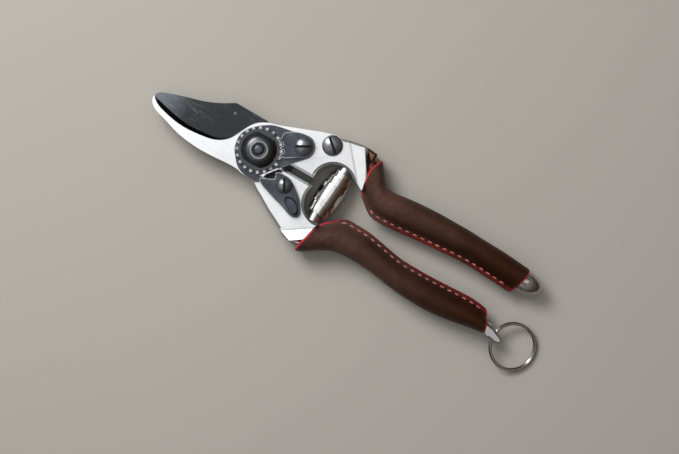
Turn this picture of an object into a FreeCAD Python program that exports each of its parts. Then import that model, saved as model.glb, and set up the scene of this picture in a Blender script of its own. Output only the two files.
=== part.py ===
import FreeCAD, Part
import math
import os
import Sketcher
from FreeCAD import Placement, Rotation, Vector

# Pruning shears, 195 mm long, lying closed on their back.
# The origin is on the pivot axis at the flat underside of the pivot bolt's head.
# +Z runs up the bolt to its nut, +X from the pivot to the handle ends, +Y to the upper handle.
# The layers over the pivot, from the bottom: bolt head, washer, lower handle's eye, cutting
# blade, counter-blade, lock plate, toothed nut.

DIMENSIONS = [
    ("slide_gap", 0.05, "gap between two faces or round walls that slide on each other"),
    ("bolt_head_radius", 11.0, "pivot bolt, flat head"),
    ("bolt_head_high", 2.35, "pivot bolt, flat head"),
    ("bolt_head_edge", 0.5, "pivot bolt, chamfer under the head"),
    ("bolt_radius", 5.0, "pivot bolt, ground shank"),
    ("bolt_thread_radius", 3.0, "pivot bolt, threaded end"),
    ("bolt_top", 21.2, "level of the bolt's domed end"),
    ("bushing_radius", 6.4, "pivot bushing, outside"),
    ("eye_base", 2.6, "underside of the lower handle's eye and of both heads"),
    ("eye_radius", 12.6, "lower handle, eye around the pivot"),
    ("thrust_washer_radius", 11.2, "thrust washer, outside"),
    ("blade_base", 8.0, "underside of the cutting blade"),
    ("hook_base", 11.0, "underside of the counter-blade"),
    ("pinhole_radius", 0.7, "small hole through the cutting blade"),
    ("rivet_radius", 1.5, "rivets that hold the cutting blade"),
    ("plate_base", 14.0, "underside of the lock plate, top of the counter-blade"),
    ("plate_top", 15.2, "top of the lock plate"),
    ("nut_flange_top", 17.6, "top of the nut's toothed flange"),
    ("nut_top", 20.2, "top of the nut's boss"),
    ("nut_tip_radius", 10.6, "nut, over the teeth"),
    ("nut_root_radius", 9.0, "nut, between the teeth"),
    ("nut_boss_radius", 8.2, "nut, round boss"),
    ("nut_flat_half", 7.0, "nut, half the width over the spanner flats"),
    ("nut_shoulder", 17.4, "level where the nut's boss starts to dome"),
    ("nut_crown_radius", 3.9, "nut, flat round the threaded hole"),
    ("nut_mouth", 0.7, "nut, chamfer of the threaded hole"),
    ("bolt_dome", 2.0, "pivot bolt, rounding of the threaded end"),
    ("segment_high", 2.2, "toothed segment, thickness"),
    ("segment_end_radius", 5.3, "toothed segment, round end about its screw"),
    ("segment_root_radius", 11.2, "toothed segment, between the teeth"),
    ("segment_tip_radius", 9.5, "toothed segment, over the teeth"),
    ("screw_foot", 5.2, "level where the segment screw and the catch screw end"),
    ("screw_wall", 0.7, "upright wall under the dome of all three screw heads"),
    ("screw_shank_radius", 2.2, "shank of all three screws"),
    ("screw_head_high", 2.0, "height of all three screw heads"),
    ("screw_slot_wide", 1.1, "slot of all three screws"),
    ("screw_slot_deep", 0.9, "slot of all three screws"),
    ("segment_screw_x", 16.4, "segment screw, place"),
    ("segment_screw_y", 11.2, "segment screw, place"),
    ("segment_head_radius", 4.2, "segment screw, head"),
    ("tang_screw_x", 27.4, "tang screw, place"),
    ("tang_screw_y", 18.2, "tang screw, place"),
    ("tang_head_radius", 4.7, "tang screw, head"),
    ("catch_screw_x", 17.7, "catch screw, place and the catch's axis"),
    ("catch_screw_y", -8.0, "catch screw, place and the catch's axis"),
    ("catch_head_radius", 3.7, "catch screw, head"),
    ("catch_base", 15.45, "underside of the thumb catch"),
    ("catch_high", 2.4, "thumb catch, thickness"),
    ("nub_high", 2.6, "thumb catch, height of the thumb nub over the plate"),
    ("washer_radius", 4.4, "catch washer, outside"),
    ("tang_nut_high", 1.6, "nut of the tang screw, height under the head"),
    ("tang_nut_slot", 0.7, "nut of the tang screw, depth of its slot"),
    ("bumper_base", 4.2, "underside of the rubber bumper"),
    ("bumper_high", 8.0, "rubber bumper, height"),
    ("head_edge", 1.1, "chamfer round both forged heads"),
    ("pocket_rim", 1.1, "slanted rim of both spring pockets"),
    ("crease_high", 3.3, "height over which each head slopes up into its grip"),
    ("tab_base", 3.4, "lower handle's ring tab, underside"),
    ("tab_high", 6.4, "lower handle's ring tab, height"),
    ("tab_edge", 0.8, "lower handle's ring tab, chamfer"),
    ("grip_middle", 8.5, "level of both grips' middle"),
    ("grip_high", 16.4, "leather grip, bottom to top"),
    ("leather_wall", 2.0, "leather sleeve, thickness"),
    ("seam_reach", 2.2, "leather sleeve, how much further it stands past the core at its seam"),
    ("shoulder_high", 7.5, "faceted shoulders of both heads, from the grips' middle to the crest"),
    ("peg_radius", 2.6, "spring pegs in both pockets"),
    ("peg_long", 6.0, "spring pegs, from the spring's end into the head"),
    ("spring_bore", 3.0, "volute spring, inside"),
    ("ring_radius", 10.65, "key ring, middle of its band"),
    ("ring_band_wide", 1.3, "key ring, band across"),
    ("ring_band_edge", 0.32, "key ring, corners of the band"),
    ("ring_band_high", 0.98, "key ring, height of one turn"),
    ("ring_pitch", 1.0, "key ring, rise of one turn"),
    ("ring_tilt", 14.0, "key ring, degrees that its far side hangs down"),
    ("ring_hole_radius", 1.75, "hole for the key ring in the lower handle's tab"),
    ("ring_hole_x", 133.0, "key ring's hole, place"),
    ("ring_hole_y", -19.6, "key ring's hole, middle of the tab"),
    ("ring_hole_level", 6.6, "key ring's hole, height over the rest plane"),
    ("ring_hole_start", 14.0, "key ring's hole, distance of the drill's start below the X axis"),
    ("ring_hole_long", 10.0, "key ring's hole, how far the drill goes"),
    ("stitch_radius", 0.42, "sewing thread, half its thickness"),
    ("stitch_long", 2.3, "sewing thread, length of one visible stitch"),
    ("stitch_inset", 2.4, "sewing thread, distance of the row from the grip's edge"),
]

TEETH = 20
TOOTH_PITCH = 360.0 / TEETH
TOOTH_PHASE = 8.0
OVAL_POINTS = 16
OVAL_POWER = 2.3
OVER_ALL = "30"
THROUGH = "40"

# Grip sections, each (x, lowest y, highest y), from the head to the handle's end.
UPPER_GRIP = [(46, 6.8, 25.4), (49, 5.6, 24.6), (52, 3.2, 21.6), (55, 0.8, 17.4), (58, -1.0, 14.5),
              (62, -1.4, 13.9), (70, -0.9, 15.0), (80, 0.0, 15.8), (90, 0.9, 16.1), (100, 1.7, 16.1),
              (110, 1.9, 15.7), (120, 1.4, 15.4), (127, 1.0, 14.9), (134, 1.4, 14.2)]
LOWER_GRIP = [(34, -31.4, -14.6), (38, -30.4, -14.2), (42, -28.0, -12.4), (46, -25.3, -9.2),
              (50, -23.2, -7.0), (55, -22.2, -6.9), (62, -22.0, -7.2), (70, -22.5, -8.6),
              (80, -23.9, -10.3), (90, -24.9, -10.5), (100, -25.0, -10.2), (110, -23.9, -9.7),
              (120, -22.1, -9.8), (129, -20.9, -11.8)]
LOW = 1
HIGH = 2

# The upper handle's rounded end: like the grip sections, then half the height.
KNOB = [(130.9, 3.7, 13.9, 5.6), (133.5, 3.4, 13.8, 5.6), (136.5, 3.9, 13.2, 5.1),
        (139.0, 5.2, 12.1, 4.0), (140.6, 6.8, 10.8, 2.5), (141.3, 8.1, 9.4, 0.9)]

doc = FreeCAD.newDocument("PruningShears")
sheet = doc.addObject("Spreadsheet::Sheet", "Dimensions")
parts = []


def fill_sheet():
    for row, (alias, value, note) in enumerate(DIMENSIONS, start=1):
        sheet.set(f"A{row}", note)
        sheet.set(f"B{row}", str(value))
        sheet.setAlias(f"B{row}", alias)
    doc.recompute()


def size(alias):
    return float(sheet.get(alias))


def new_body(label):
    body = doc.addObject("PartDesign::Body", label)
    body.Label = label
    parts.append(body)
    return body


def new_sketch(body, name, level="0", role="XY_Plane"):
    plane = next(item for item in body.Origin.OriginFeatures if item.Role == role)
    sketch = body.newObject("Sketcher::SketchObject", name)
    sketch.AttachmentSupport = [(plane, "")]
    sketch.MapMode = "FlatFace"
    sketch.setExpression("AttachmentOffset.Base.z", level)
    return sketch


def draw(sketch, start, runs):
    """Draw a closed outline: each run starts where the last one ended."""
    last = start
    for kind, *points in runs:
        through = [Vector(px, py, 0) for px, py in [last, *points]]
        if kind == "lines":
            for first, second in zip(through, through[1:]):
                sketch.addGeometry(Part.LineSegment(first, second), False)
        elif kind == "arc":
            sketch.addGeometry(Part.Arc(*through), False)
        else:
            curve = Part.BSplineCurve()
            curve.interpolate(through)
            sketch.addGeometry(curve, False)
        last = points[-1]
    return sketch


def polygon(sketch, corners):
    return draw(sketch, corners[0], [("lines", *corners[1:], corners[0])])


def circle(sketch, radius, centre=(0.0, 0.0)):
    round_line = Part.Circle(Vector(*centre, 0), Vector(0, 0, 1), 1.0)
    index = sketch.addGeometry(round_line, False)
    constraint = sketch.addConstraint(Sketcher.Constraint("Radius", index, 1.0))
    sketch.setExpression(f"Constraints[{constraint}]", radius)
    if centre == (0.0, 0.0):
        sketch.addConstraint(Sketcher.Constraint("Coincident", index, 3, -1, 1))
    return sketch


def pad(body, sketch, length):
    feature = body.newObject("PartDesign::Pad", sketch.Name + "Pad")
    feature.Profile = sketch
    feature.setExpression("Length", length)
    return feature


def cut(body, sketch, depth):
    """Pocket that goes down from its sketch."""
    feature = body.newObject("PartDesign::Pocket", sketch.Name + "Cut")
    feature.Profile = sketch
    feature.setExpression("Length", depth)
    return feature


def disc(body, name, level, radius, length, centre=(0.0, 0.0)):
    return pad(body, circle(new_sketch(body, name, level), radius, centre), length)


def hole(body, name, level, radius, depth, centre=(0.0, 0.0)):
    return cut(body, circle(new_sketch(body, name, level), radius, centre), depth)


def screw_hole(body, prefix, depth, radius="Dimensions.screw_shank_radius"):
    """Round hole for one of the three screws, from above."""
    centre = (size(prefix + "_screw_x"), size(prefix + "_screw_y"))
    return hole(body, body.Label + prefix, OVER_ALL, radius, depth, centre)


def loft(body, name, sketches, ruled=False, kind="AdditiveLoft"):
    feature = body.newObject("PartDesign::" + kind, name)
    feature.Profile = sketches[0]
    feature.Sections = sketches[1:]
    feature.Ruled = ruled
    return feature


def revolve(body, name, profile):
    feature = body.newObject("PartDesign::Revolution", name)
    feature.Profile = profile
    feature.ReferenceAxis = (profile, ["V_Axis"])
    feature.Angle = 360
    return feature


def turned(body, name, foot, runs):
    """Round piece about the body's own Z axis: its profile starts on the axis at the foot level."""
    profile = new_sketch(body, name + "Profile", "0", "XZ_Plane")
    profile.setExpression("AttachmentOffset.Base.y", foot)
    draw(profile, (0.0, 0.0), [*runs, ("lines", (0.0, 0.0))])
    return revolve(body, name, profile)


def dress(body, feature, kind, amount, chosen):
    """Fillet or chamfer the edges of a feature that the test picks."""
    doc.recompute()
    names = [f"Edge{number}" for number, edge in enumerate(feature.Shape.Edges, 1) if chosen(edge)]
    dressed = body.newObject("PartDesign::" + kind, feature.Name + kind)
    dressed.Base = (feature, names)
    dressed.setExpression("Radius" if kind == "Fillet" else "Size", amount)
    return dressed


def flat_at(edge, level):
    box = edge.BoundBox
    return abs(box.ZMin - level) < 0.001 and abs(box.ZMax - level) < 0.001


def polar(radius, degrees, centre=(0.0, 0.0)):
    turn = math.radians(degrees)
    return (centre[0] + radius * math.cos(turn), centre[1] + radius * math.sin(turn))


def oval_sketch(body, name, station, inset):
    """One grip section: a full oval on the plane at this x, as high as the grip or its fourth value."""
    place, low, high, *lower = station
    sketch = new_sketch(body, name, str(place), "YZ_Plane")
    half_wide = (high - low) / 2 - inset
    half_high = (lower[0] if lower else size("grip_high") / 2) - inset
    points = []
    for step in range(OVAL_POINTS):
        turn = 2 * math.pi * step / OVAL_POINTS
        across = math.copysign(abs(math.cos(turn)) ** (2 / OVAL_POWER), math.cos(turn))
        upward = math.copysign(abs(math.sin(turn)) ** (2 / OVAL_POWER), math.sin(turn))
        middle = (low + high) / 2
        points.append(Vector(middle + half_wide * across, size("grip_middle") + half_high * upward, 0))
    curve = Part.BSplineCurve()
    curve.interpolate(points, PeriodicFlag=True)
    sketch.addGeometry(curve, False)
    return sketch


def oval_loft(body, name, stations, inset, kind="AdditiveLoft"):
    sketches = [oval_sketch(body, f"{name}{number}", station, inset)
                for number, station in enumerate(stations)]
    return loft(body, name, sketches, kind=kind)


# ---- blades ----

HUB_RADIUS = 12.9
RIVET_TURNS = (-20, -140, 100)
RIVET_CIRCLE = 9.4


def cutting_blade():
    """Bypass blade: flat face up, one long bevel ground on the underside."""
    body = new_body("cutting_blade")
    heel = polar(HUB_RADIUS, -173)
    shoulder = polar(HUB_RADIUS, 97)

    def outline(name, level, edge):
        tip = (-53.2, -1.7)
        return draw(new_sketch(body, name, level), tip, [
            ("curve", (-52.5, -0.3), (-50, 1.2), (-45, 3.0), (-40, 4.6), (-35, 6.0), (-30, 7.8),
             (-25, 10.2), (-20.3, 13.0)),
            ("curve", (-19.4, 13.3), (-18.4, 13.35)),
            ("lines", (-4.0, 13.3), shoulder),
            ("arc", polar(HUB_RADIUS, 0), polar(HUB_RADIUS, -90)),
            ("arc", polar(HUB_RADIUS, -130), heel),
            ("curve", *edge, tip)])

    low = outline("GroundFace", "Dimensions.blade_base",
                  [(-17, -0.2), (-20, -0.9), (-25, -1.2), (-30, -1.4), (-40, -1.2), (-48, -1.0)])
    top = outline("FlatFace", "Dimensions.hook_base - Dimensions.slide_gap",
                  [(-16, -4.2), (-20, -6.0), (-25, -6.9), (-30, -7.2), (-40, -6.6), (-48, -4.7)])
    loft(body, "BladeBlank", [low, top], ruled=True)
    hole(body, "BladeBore", OVER_ALL, "Dimensions.bushing_radius", THROUGH)
    hole(body, "BladePinhole", OVER_ALL, "Dimensions.pinhole_radius", THROUGH, (-18.0, 9.0))
    for number, turn in enumerate(RIVET_TURNS):
        place = polar(RIVET_CIRCLE, turn)
        hole(body, f"RivetHole{number}", OVER_ALL, "Dimensions.rivet_radius", THROUGH, place)


def blade_rivets():
    """Three flush rivets that hold the blade on the lower handle's eye."""
    rivets = []
    for turn in RIVET_TURNS:
        rivet = doc.addObject("Part::Cylinder", "Rivet")
        rivet.setExpression("Radius", "Dimensions.rivet_radius")
        rivet.setExpression("Height", "Dimensions.hook_base - Dimensions.slide_gap - Dimensions.eye_base")
        rivet.Placement.Base = Vector(*polar(RIVET_CIRCLE, turn), size("eye_base"))
        rivets.append(rivet)
    group = doc.addObject("Part::Compound", "blade_rivets")
    group.Label = "blade_rivets"
    group.Links = rivets
    parts.append(group)


# The tang's outline is also the recess in the upper handle's head.
TANG_LOWER = [(17.0, 4.6), (21.9, 8.6), (25.1, 10.8), (28.0, 12.9), (29.4, 14.0)]
TANG_TOP = [(19.8, 21.0), (15.1, 19.2), (8.0, 16.4), (1.0, 13.8)]
TANG_END = (27.5, 18.1)
HUB_TURN_START = -108.0
HUB_TURN_END = 2.0


def tang_runs():
    """Hub and tang of the counter-blade, from under the heel round to the throat's top."""
    return [("arc", polar(HUB_RADIUS, -53), polar(HUB_RADIUS, HUB_TURN_END)),
            ("curve", *TANG_LOWER, polar(5.0, -48, TANG_END)),
            ("arc", polar(5.0, 32, TANG_END), polar(5.0, 112, TANG_END)),
            ("curve", *TANG_TOP)]


def counter_blade():
    """Hooked counter-blade with a tang: its throat edge is bevelled back towards the top."""
    body = new_body("counter_blade")
    tip = (-53.2, -2.0)
    heel = polar(HUB_RADIUS, HUB_TURN_START)
    outer = [(-52.8, -4.2), (-51.5, -6.0), (-45, -8.7), (-40, -10.3), (-35, -11.7), (-30, -12.5),
             (-25, -12.9), (-20, -12.9), (-15, -12.6), (-10, -12.2)]

    def outline(name, level, throat):
        return draw(new_sketch(body, name, level), tip,
                    [("curve", *outer, heel), *tang_runs(), ("curve", *throat, tip)])

    low = outline("HookUnderside", "Dimensions.hook_base",
                  [(-3, 12.6), (-7.5, 10.2), (-11, 5.0), (-13, 1.5), (-15, -1.2), (-20, -4.6), (-25, -5.4),
                   (-30, -5.9), (-35, -5.9), (-40, -5.2), (-45, -4.2), (-50, -3.0)])
    top = outline("HookTop", "Dimensions.plate_base",
                  [(-3, 12.5), (-7, 10.0), (-10.4, 5.0), (-12.0, 1.5), (-14.0, -1.8), (-19, -5.6),
                   (-25, -7.1), (-30, -7.7), (-35, -7.9), (-40, -7.4), (-45, -6.4), (-50, -4.7)])
    loft(body, "HookBlank", [low, top], ruled=True)
    hole(body, "HookBore", OVER_ALL, "Dimensions.bolt_radius", THROUGH)
    screw_hole(body, "segment", THROUGH)
    screw_hole(body, "tang", THROUGH)


# ---- handles and grips ----

UPPER_POCKET = (36.5, 2.8)
UPPER_POCKET_RADIUS = 9.6
LOWER_POCKET = (37.5, -6.0)
LOWER_POCKET_RADIUS = 9.7
HEAD_GAP_UPPER = 1.3
HEAD_GAP_LOWER = -1.7
UPPER_CLEAR = 14.0
LOWER_CLEAR = 13.2
UPPER_HEAD_CUT = [(50.6, 25.6), (49.1, 22.2), (48.0, 19.7), (47.2, 16.5), (47.7, 12.6), (48.6, 8.0),
                  (49.6, 4.0)]
LOWER_HEAD_CUT = [(35.3, -33.0), (36.2, -27.0), (37.2, -23.6), (38.0, -20.0), (39.0, -16.6),
                  (41.5, -13.4), (44.8, -10.8), (47.9, -5.0)]
RIM_CUTTER_HIGH = 3.0
TAB_FREE_END = 134.0
TAB_SLOPE_HIGH = 1.8
TAB_CREASE_DEEP = 0.7
UPPER_END_CUT = [(128.6, -1.0), (130.4, 3.5), (131.7, 8.0), (132.4, 12.0), (132.6, 17.0)]
LOWER_END_CUT = [(121.5, -7.5), (124.4, -11.0), (126.4, -14.5), (127.6, -17.4), (128.6, -23.0)]


def cut_past(body, name, line, far_x):
    """Cut away everything from a curved line across the grip out to a far x."""
    start = (far_x, line[0][1])
    beyond = draw(new_sketch(body, name, OVER_ALL), start, [
        ("lines", line[0]), ("curve", *line[1:]), ("lines", (far_x, line[-1][1]), start)])
    return cut(body, beyond, THROUGH)


def without_seam(stations, column):
    """Grip sections drawn in on the seam's side, where the metal core ends."""
    reach = size("seam_reach") if column == LOW else -size("seam_reach")
    return [tuple(value + reach if index == column else value for index, value in enumerate(station))
            for station in stations]


def slope_cuts(body, flat, spread):
    """Take the round grip down to the head's flat faces along a slanted crease, top and bottom."""
    faces = [("Top", "Dimensions.plate_base - Dimensions.slide_gap", "+ Dimensions.crease_high"),
             ("Bottom", "Dimensions.eye_base", "- Dimensions.crease_high")]
    for side, level, rise in faces:
        near = polygon(new_sketch(body, "Flat" + side, level), flat)
        far = polygon(new_sketch(body, "Slope" + side, f"{level} {rise}"), spread)
        loft(body, "Crease" + side, [near, far], ruled=True, kind="SubtractiveLoft")


def faceted_shoulder(body, name, waist, middle, crest):
    """Faceted swelling between the flat head and the grip: widest at mid-height, both ways out."""
    rims = [("Waist", "0", waist), ("Middle", "0.62", middle), ("Crest", "1", crest)]
    for side, sign in [("Top", "+"), ("Bottom", "-")]:
        sketches = []
        for rim, share, corners in rims:
            level = f"Dimensions.grip_middle {sign} {share} * Dimensions.shoulder_high"
            sketches.append(polygon(new_sketch(body, name + rim + side, level), corners))
        loft(body, name + side, sketches, ruled=True)


def spring_pocket(body, centre, radius):
    """Round pocket through the head, with a 45 degree rim on both faces."""
    hole(body, "SpringPocket", OVER_ALL, str(radius), THROUGH, centre)
    wide = radius + RIM_CUTTER_HIGH
    top_foot = size("plate_base") - size("slide_gap") - size("pocket_rim")
    bottom_foot = size("eye_base") + size("pocket_rim") - RIM_CUTTER_HIGH
    for name, foot, low, high in [("RimTop", top_foot, radius, wide),
                                  ("RimBottom", bottom_foot, wide, radius)]:
        cone = body.newObject("PartDesign::SubtractiveCone", name)
        cone.Radius1 = low
        cone.Radius2 = high
        cone.Height = RIM_CUTTER_HIGH
        cone.Placement = Placement(Vector(*centre, foot), Rotation())


def spring_peg(body, name, foot, upward):
    """Peg along Y that locates one end of the spring."""
    sketch = new_sketch(body, name, str(-foot[1]), "XZ_Plane")
    circle(sketch, "Dimensions.peg_radius", (foot[0], size("grip_middle")))
    feature = pad(body, sketch, "Dimensions.peg_long")
    feature.Reversed = upward


def upper_handle():
    """Forged handle: flat head with the tang's recess, oval grip core, end knob."""
    body = new_body("upper_handle")
    nose = (math.sqrt(UPPER_CLEAR ** 2 - HEAD_GAP_UPPER ** 2), HEAD_GAP_UPPER)
    shoulder = polar(UPPER_CLEAR, 58)
    head = draw(new_sketch(body, "UpperHead", "Dimensions.eye_base"), nose, [
        ("lines", (43.5, HEAD_GAP_UPPER), (42.0, 10.3), (46.9, 7.9), (46.9, 24.9)),
        ("curve", (44.0, 25.2), (40.1, 25.3), (35.0, 24.5), (29.8, 23.2), (24.8, 22.2), (19.8, 20.5),
         (15.1, 18.7), (10.6, 17.0)),
        ("lines", shoulder),
        ("arc", polar(UPPER_CLEAR, 32), nose)])
    head_pad = pad(body, head, "Dimensions.plate_base - Dimensions.slide_gap - Dimensions.eye_base")
    top = size("plate_base") - size("slide_gap")
    dress(body, head_pad, "Chamfer", "Dimensions.head_edge",
          lambda edge: flat_at(edge, top) or flat_at(edge, size("eye_base")))
    faceted_shoulder(body, "UpperShoulder",
                     [(32.0, 22.9), (44.5, 24.9), (51.0, 22.6), (51.0, 5.0), (46.9, 8.1), (41.5, 10.9)],
                     [(32.0, 22.9), (42.6, 24.8), (51.0, 19.4), (51.0, 6.0), (46.9, 8.1), (41.5, 10.9)],
                     [(32.0, 22.9), (40.3, 24.6), (49.4, 8.4), (50.0, 7.0), (46.9, 8.1), (41.5, 10.9)])
    cut_past(body, "ShoulderEnd", UPPER_HEAD_CUT, 60.0)
    core = without_seam(UPPER_GRIP, LOW)
    oval_loft(body, "UpperCore", core, size("leather_wall") + size("slide_gap"))
    oval_loft(body, "EndKnob", KNOB, 0.0)
    slope_cuts(body, [(10, 32), (26.1, 32), (53.3, 0), (10, 0)],
               [(10, 38.6), (33.9, 38.6), (61.1, 6.6), (10, 0)])
    spring_pocket(body, UPPER_POCKET, UPPER_POCKET_RADIUS)
    spring_peg(body, "UpperPeg", (37.7, 13.5), False)
    recess = draw(new_sketch(body, "TangRecess", OVER_ALL), polar(HUB_RADIUS, HUB_TURN_START), [
        *tang_runs(), ("lines", (-10, 12), polar(HUB_RADIUS, HUB_TURN_START))])
    cut(body, recess, f"{OVER_ALL} - Dimensions.hook_base")
    screw_hole(body, "segment", f"{OVER_ALL} - Dimensions.screw_foot")
    screw_hole(body, "tang", THROUGH)


def ring_tab_facets(body, top):
    """Slope along the tab's inner side and a shallow crease along its middle."""
    foot = polygon(new_sketch(body, "TabSlopeFoot", str(top - TAB_SLOPE_HIGH)),
                   [(127.3, -15.5), (131.0, -16.2), (138.0, -19.2), (138.0, -12.0), (127.3, -12.0)])
    rim = polygon(new_sketch(body, "TabSlopeRim", str(top + TAB_SLOPE_HIGH)),
                  [(127.3, -18.5), (131.0, -19.0), (138.0, -21.6), (138.0, -12.0), (127.3, -12.0)])
    loft(body, "TabSlope", [foot, rim], ruled=True, kind="SubtractiveLoft")
    crease = polygon(new_sketch(body, "TabCrease", OVER_ALL),
                     [(126.5, -19.4), (132.0, -19.7), (135.4, -20.6), (135.2, -21.0), (131.8, -20.2),
                      (126.5, -19.9)])
    cut(body, crease, f"{OVER_ALL} - {top - TAB_CREASE_DEEP}")


def lower_handle():
    """Forged handle: thin eye under the blade, thick head, oval grip core, tab for the key ring."""
    body = new_body("lower_handle")
    nose = (math.sqrt(LOWER_CLEAR ** 2 - HEAD_GAP_LOWER ** 2), HEAD_GAP_LOWER)
    chin = polar(LOWER_CLEAR, -74)
    head = draw(new_sketch(body, "LowerHead", "Dimensions.eye_base"), nose, [
        ("arc", polar(LOWER_CLEAR, -40), chin),
        ("curve", (4.6, -14.2), (10, -17.8), (15, -20.8), (20, -23.4), (25, -26.0), (28.5, -27.9),
         (31.5, -28.7), (37.0, -28.1)),
        ("lines", (41.0, -15.0), (41.0, HEAD_GAP_LOWER), nose)])
    head_pad = pad(body, head, "Dimensions.plate_base - 2*Dimensions.slide_gap - Dimensions.eye_base")
    top = size("plate_base") - 2 * size("slide_gap")
    dress(body, head_pad, "Chamfer", "Dimensions.head_edge",
          lambda edge: flat_at(edge, top) or flat_at(edge, size("eye_base")))
    eye_high = "Dimensions.blade_base - Dimensions.eye_base - Dimensions.slide_gap"
    disc(body, "Eye", "Dimensions.eye_base", "Dimensions.eye_radius", eye_high)
    web = polygon(new_sketch(body, "Web", "Dimensions.eye_base"),
                  [(0, 0), (12.4, -1.9), (17, -3.2), (18, -9), (12, -17.4), (4.6, -13.4)])
    pad(body, web, eye_high)
    inner = [(36.0, -15.5), (30.2, -17.6)]
    faceted_shoulder(body, "LowerShoulder",
                     [(25.4, -26.0), (31.5, -28.5), (41.0, -28.8), (41.0, -14.8), *inner],
                     [(25.4, -26.0), (31.9, -28.4), (41.0, -26.5), (41.0, -14.8), *inner],
                     [(25.4, -26.0), (31.7, -28.3), (41.0, -20.8), (41.0, -15.2), *inner])
    cut_past(body, "ShoulderEnd", LOWER_HEAD_CUT, 60.0)
    core = without_seam(LOWER_GRIP[1:], HIGH)
    oval_loft(body, "LowerCore", core, size("leather_wall") + size("slide_gap"))
    cut_past(body, "CoreEnd", LOWER_END_CUT, 140.0)
    tab = draw(new_sketch(body, "RingTab", "Dimensions.tab_base"), (122.0, -16.6), [
        ("lines", (127.4, -16.6), (127.05, -15.6)),
        ("curve", (129.2, -15.6), (131, -16.2), (134, -17.3), (136.5, -19.0), (137.3, -20.4),
         (136.4, -21.6), (134, -21.9), (131, -21.4)),
        ("lines", (129.0, -20.4), (127.9, -17.8), (122.0, -17.8), (122.0, -16.6))])
    tab_pad = pad(body, tab, "Dimensions.tab_high")
    tab_levels = (size("tab_base"), size("tab_base") + size("tab_high"))
    dress(body, tab_pad, "Chamfer", "Dimensions.tab_edge",
          lambda edge: edge.BoundBox.XMax > TAB_FREE_END
          and any(flat_at(edge, level) for level in tab_levels))
    ring_tab_facets(body, tab_levels[1])
    slope_cuts(body, [(-5, -30.8), (20, -30.8), (45.5, -13.3), (45.5, 5), (-5, 5)],
               [(-5, -39.2), (25.8, -39.2), (51.3, -21.7), (51.3, 5), (-5, 5)])
    spring_pocket(body, LOWER_POCKET, LOWER_POCKET_RADIUS)
    spring_peg(body, "LowerPeg", (36.1, -16.6), True)
    ring_hole = new_sketch(body, "RingHole", "Dimensions.ring_hole_start", "XZ_Plane")
    circle(ring_hole, "Dimensions.ring_hole_radius", (size("ring_hole_x"), size("ring_hole_level")))
    ring_cut = cut(body, ring_hole, "Dimensions.ring_hole_long")
    ring_cut.Reversed = True
    hole(body, "PivotBore", OVER_ALL, "Dimensions.bushing_radius", THROUGH)
    screw_hole(body, "catch", f"{OVER_ALL} - Dimensions.screw_foot")
    for number, turn in enumerate(RIVET_TURNS):
        place = polar(RIVET_CIRCLE, turn)
        hole(body, f"EyeRivet{number}", OVER_ALL, "Dimensions.rivet_radius", THROUGH, place)


def sleeve(label, stations, core_stations, head_cut, end_cut, knob=()):
    """Leather sleeve: an oval tube with slanted cuts, let out inside its end where a knob fills it."""
    body = new_body(label)
    oval_loft(body, label + "Skin", stations, 0.0)
    oval_loft(body, label + "Inside", core_stations, size("leather_wall"), kind="SubtractiveLoft")
    cut_past(body, label + "HeadCut", head_cut, 20.0)
    cut_past(body, label + "EndCut", end_cut, 150.0)
    if knob:
        oval_loft(body, label + "KnobSeat", knob, -size("slide_gap"), kind="SubtractiveLoft")


def between(stations, place, column):
    """A grip edge's y at this x, straight between the stations."""
    for left, right in zip(stations, stations[1:]):
        if left[0] <= place <= right[0]:
            share = (place - left[0]) / (right[0] - left[0])
            return left[column] + share * (right[column] - left[column])
    raise ValueError(f"no grip section at x = {place}")


def stitching(label, stations, column, first_x, last_x, count):
    """Saddle stitches on both faces of the seam, along the grip's inner edge."""
    group = doc.addObject("Part::Feature", label)
    group.Label = label
    inward = size("stitch_inset") if column == LOW else -size("stitch_inset")
    stitches = []
    for number in range(count):
        place = first_x + (last_x - first_x) * number / (count - 1)
        edge = between(stations, place, column)
        slope = between(stations, place + 1, column) - edge
        low = between(stations, place, LOW)
        high = between(stations, place, HIGH)
        across = abs((edge + inward) - (low + high) / 2) / ((high - low) / 2)
        rise = size("grip_high") / 2 * (1 - across ** OVAL_POWER) ** (1 / OVAL_POWER)
        for side in (-1, 1):
            start = Vector(place, edge + inward, size("grip_middle") + side * rise)
            along = Vector(1, slope, 0)
            stitches.append(Part.makeCylinder(size("stitch_radius"), size("stitch_long"), start, along))
    group.Shape = Part.makeCompound(stitches)
    parts.append(group)


# ---- pivot, nut and lock ----

# The nut's dome passes this share of the way out from its crown at this share of its rise.
BULGE_OUT = 0.62
BULGE_UP = 0.66
# Half angles of the nut's teeth and of the segment's, at root and tip, in degrees.
TOOTH_ROOT_HALF = 5.6
TOOTH_TIP_HALF = 2.6
SEGMENT_ROOT_HALF = 5.4
SEGMENT_TIP_HALF = 1.8
SEGMENT_GAPS = (0, 1, 2)
SEGMENT_HEEL = 11.0


def pivot_bolt():
    """Flat-headed bolt through the whole pivot, up into the nut."""
    body = new_body("pivot_bolt")
    head = disc(body, "BoltHead", "0", "Dimensions.bolt_head_radius", "Dimensions.bolt_head_high")
    dress(body, head, "Chamfer", "Dimensions.bolt_head_edge", lambda edge: flat_at(edge, 0))
    disc(body, "BoltShank", "0", "Dimensions.bolt_radius", "Dimensions.plate_base")
    end = disc(body, "BoltThread", "0", "Dimensions.bolt_thread_radius", "Dimensions.bolt_top")
    dress(body, end, "Fillet", "Dimensions.bolt_dome", lambda edge: flat_at(edge, size("bolt_top")))


def ring_piece(label, level, outer, inner, length, centre=(0.0, 0.0)):
    """Flat or long ring with square edges: washer or bushing."""
    body = new_body(label)
    sketch = circle(new_sketch(body, label + "Ring", level), outer, centre)
    pad(body, circle(sketch, inner, centre), length)


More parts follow.
